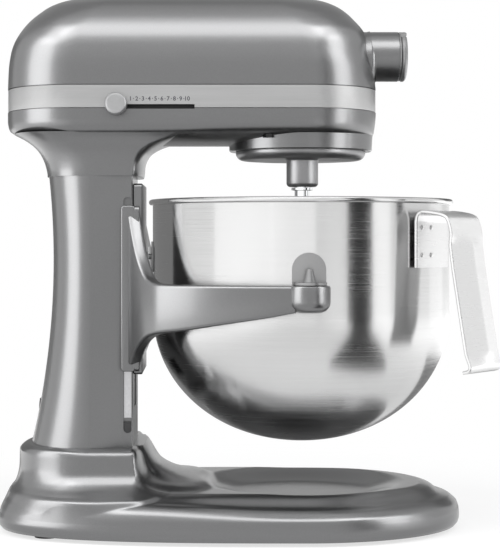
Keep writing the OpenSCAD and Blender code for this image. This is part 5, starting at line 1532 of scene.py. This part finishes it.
@dataclass
class Studio:
    """Plain pale floor, even white surroundings, soft lamps and the camera.

    Lengths are metres here. A lamp or a card is its name, place, aim, width, height, and its
    power or its glow. A lamp's name starts with its group: strong lamps light all but steel
    and trim, soft lamps light steel, and trim lamps light trim.
    """

    eye: Point = (-0.0253, -1.35, 0.2264)
    lens: float = 121.5
    shift: tuple[float, float] = (0.08, -0.068)
    lamps: tuple = (
        ("strong_left", (-1.39, -0.56, 0.55), (0.0, 0.0, 0.55), 1.1, 1.9, 24.0),
        ("strong_right", (1.36, -0.634, 0.55), (0.0, 0.0, 0.55), 0.9, 1.9, 19.5),
        ("strong_corner_left", (-0.92, -0.53, 1.41), (0.0, 0.0, 0.3), 0.8, 0.8, 6.4),
        ("strong_corner_right", (0.92, -0.53, 1.41), (0.0, 0.0, 0.3), 0.8, 0.8, 6.4),
        ("strong_top", (0.0, -0.95, 1.7), (0.0, 0.0, 0.3), 2.2, 0.95, 22.0),
        ("soft_left", (-1.06, -1.06, 0.55), (0.047, 0.0, 0.55), 1.3, 1.9, 3.2),
        ("soft_front", (-0.22, -1.9, 0.55), (0.047, 0.0, 0.55), 1.1, 1.9, 2.8),
        ("soft_right", (1.32, -0.8, 0.55), (0.047, 0.0, 0.55), 0.42, 1.9, 1.0),
        ("soft_far", (1.3, 0.75, 0.55), (0.047, 0.0, 0.55), 0.6, 1.9, 0.9),
        ("soft_top", (0.0, -0.95, 1.7), (0.0, 0.0, 0.3), 2.2, 0.95, 6.0),
        ("trim_left", (-1.39, -0.56, 0.55), (0.0, 0.0, 0.55), 1.1, 1.9, 4.9),
        ("trim_right", (1.36, -0.634, 0.55), (0.0, 0.0, 0.55), 1.2, 1.9, 10.5),
        ("trim_top", (0.0, -0.95, 1.7), (0.0, 0.0, 0.3), 2.2, 0.95, 5.0))
    steel: tuple[Finish, ...] = (BOWL_STEEL, HANDLE_STEEL, POLISHED, BRACKET_STEEL, CAP_METAL)
    trim: tuple[Finish, ...] = (BAND_METAL, KNOB_METAL)
    cards: tuple = (
        ("card_left", (-0.95, 1.6, 0.6), (-0.3, 0.0, 0.5), 1.3, 1.2, 0.2),
        # card_gap glows faintly between the column and the bowl, and only gloss sees it: a painted
        # reflection that lightens the bowl's side facing the column.
        ("card_gap", (-0.0755, 0.0, 0.213), (0.047, 0.0, 0.213), 0.1, 0.12, 0.25),
        ("card_right", (0.65, 1.6, 0.92), (0.2, 0.0, 0.7), 1.9, 1.0, 0.1),
        ("card_top", (0.0, 1.2, 1.4), (0.0, 0.0, 0.4), 3.2, 2.2, 0.45),
        ("card_floor", (0.05, 0.85, 0.004), (0.05, 0.849, 1.0), 0.8, 1.4, 0.2),
        ("card_streak", (0.826, -0.912, 0.6), (0.047, 0.0, 0.6), 0.4, 1.3, 0.0),
        ("card_strip", (0.5, -0.53, 0.004), (0.49935, -0.52924, 1.0), 0.2, 0.96, 0.0),
        ("card_dip", (1.2, -0.33, 0.27), (0.047, 0.0, 0.27), 0.12, 0.5, 0.0))
    sky: Colour = (0.9, 0.92, 0.95)
    sky_power: float = 0.35
    paper: tuple[Colour, Colour] = ((0.86, 0.86, 0.86), (0.9, 0.9, 0.9))
    floor_half: float = 3.0

    def camera(self) -> None:
        """A level camera that looks along +Y."""
        data = bpy.data.cameras.new("view")
        data.lens, data.sensor_width, data.sensor_fit = self.lens, 36.0, "HORIZONTAL"
        data.shift_x, data.shift_y = self.shift
        data.clip_start, data.clip_end = 0.01, 50
        view = bpy.data.objects.new("view", data)
        view.location, view.rotation_euler = self.eye, (math.pi / 2, 0, 0)
        bpy.context.scene.collection.objects.link(view)
        bpy.context.scene.camera = view

    def light(self) -> None:
        """Area lamps aimed at the mixer."""
        for name, place, target, width, height, power in self.lamps:
            data = bpy.data.lights.new(name, "AREA")
            data.shape, data.size, data.size_y, data.energy = "RECTANGLE", width, height, power
            lamp = bpy.data.objects.new(name, data)
            aim = np.asarray(target) - np.asarray(place)
            lamp.location = place
            lamp.rotation_euler = (math.atan2(math.hypot(aim[0], aim[1]), -aim[2]), 0,
                                   math.atan2(aim[0], -aim[1]) + math.pi)
            bpy.context.scene.collection.objects.link(lamp)

    def link(self) -> None:
        """Links each group of lamps to the finishes that it lights, or leaves out."""
        for word, finishes, state in (("strong", self.steel + self.trim, "EXCLUDE"),
                                      ("soft", self.steel, "INCLUDE"),
                                      ("trim", self.trim, "INCLUDE")):
            group = bpy.data.collections.new(word)
            names = {finish.name for finish in finishes}
            for piece in bpy.data.objects:
                coats = piece.data.materials if piece.type == "MESH" else ()
                if coats and coats[0] and coats[0].name in names:
                    group.objects.link(piece)
            for item in group.collection_objects:
                item.light_linking.link_state = state
            for lamp in bpy.data.objects:
                if lamp.type == "LIGHT" and lamp.name.startswith(word):
                    lamp.light_linking.receiver_collection = group

    def shades(self) -> None:
        """Dark cards that only gloss sees, so that the metal's edges read against white."""
        for name, place, target, width, height, glow in self.cards:
            aim = np.asarray(target) - np.asarray(place)
            ahead = aim / np.linalg.norm(aim)
            across = np.cross(ahead, [0, 0, 1.0])
            across /= np.linalg.norm(across)
            upward = np.cross(across, ahead)
            corners = [np.asarray(place) + across * width / 2 * i + upward * height / 2 * j
                       for i, j in ((-1, -1), (1, -1), (1, 1), (-1, 1))]
            mesh = bpy.data.meshes.new(name)
            mesh.from_pydata([tuple(map(float, c)) for c in corners], [], [[0, 1, 2, 3]])
            card = bpy.data.objects.new(name, mesh)
            bpy.context.scene.collection.objects.link(card)
            g = Graph(name)
            g.surface(Base_Color=(0.02, 0.02, 0.02), Roughness=1.0,
                      Emission_Color=(1.0, 1.0, 1.0), Emission_Strength=glow)
            mesh.materials.append(g.material)
            card.visible_camera = card.visible_diffuse = card.visible_shadow = False

    def surroundings(self) -> None:
        """World: white to the eye, to gloss and through glass, softer as a light source."""
        world = bpy.data.worlds.new("studio")
        bpy.context.scene.world = world
        world.use_nodes = True
        world.cycles.sampling_method = "NONE"
        w = Nodes(world.node_tree)
        path = w.add("LightPath").outputs
        lit = w.add("Background", {0: self.sky, 1: self.sky_power}).outputs[0]
        seen = w.add("Background", {0: (1.0, 1.0, 1.0), 1: 1.0}).outputs[0]
        clear = w.math("MAXIMUM", path["Is Glossy Ray"], path["Is Transmission Ray"])
        view = w.math("MAXIMUM", path["Is Camera Ray"], clear)
        mix = w.add("MixShader", {0: view, 1: lit, 2: seen}).outputs[0]
        w.put(w.add("OutputWorld").inputs[0], mix)

    def floor(self) -> None:
        """A wide plain floor under the mixer."""
        mesh = bpy.data.meshes.new("floor")
        h = self.floor_half
        mesh.from_pydata([(-h, -h, 0), (h, -h, 0), (h, h, 0), (-h, h, 0)], [], [[0, 1, 2, 3]])
        floor = bpy.data.objects.new("floor", mesh)
        bpy.context.scene.collection.objects.link(floor)
        g = Graph("floor_paper")
        g.surface(Base_Color=g.blend(g.between(g.noise(6, 2), 0, 1), *self.paper), Roughness=0.9)
        reach = g.add("VectorMath", {0: g.place}, operation="LENGTH").outputs["Value"]
        path = g.add("LightPath").outputs
        gloss = path["Is Glossy Ray"]
        seen = g.math("MAXIMUM", path["Is Camera Ray"], gloss)
        white = g.between(reach, 0.7, 1.0, 0.22, 0.5)
        wide = g.math("ABSOLUTE", g.add("SeparateXYZ", {0: g.place}).outputs[0])
        glow = g.math("MULTIPLY", g.between(wide, 0, 0.7, 0.25, 0.7), gloss)
        plain = g.add("Emission", {0: (1.0, 1.0, 1.0), 1: g.math("ADD", glow, 1.0)}).outputs[0]
        share = g.math("MULTIPLY", white, seen)
        mix = g.add("MixShader", {0: share, 1: g.shader.outputs[0], 2: plain}).outputs[0]
        g.put(g.out.inputs[0], mix)
        mesh.materials.append(g.material)

    def make(self) -> None:
        """Sets the scene."""
        bpy.context.scene.view_settings.view_transform = "Standard"
        self.camera()
        self.light()
        self.shades()
        self.surroundings()
        self.floor()


def dress(frame: dict[str, Any]) -> None:
    """Gives every node of the part the finish of its slot."""
    slots = {p["node"]: p["material_slot"] for p in frame["record"]["subparts"]}
    for name, node in frame["nodes"].items():
        finish = OWN_FINISH.get(name) or FINISHES[slots[name]]
        node.data.materials.clear()
        node.data.materials.append(finish.material())
        log.info("%s: finished as %s", name, finish.name)


def main() -> None:
    """Loads the part, builds every piece in order and links the lamps to their finishes."""
    logging.basicConfig(level=logging.INFO, format="%(name)s %(message)s")
    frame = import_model()
    studio = Studio()
    studio.make()
    dress(frame)
    for assembly in (BaseCasting(), ColumnCasting(), HeadCastings(), SpeedScale(),
                     PlanetaryDrive(), HubCap(), Bowl(), Carriage()):
        pieces = assembly.make()
        log.info("%s: %d pieces", type(assembly).__name__, len(pieces))
    studio.link()


if __name__ == "__main__":
    main()
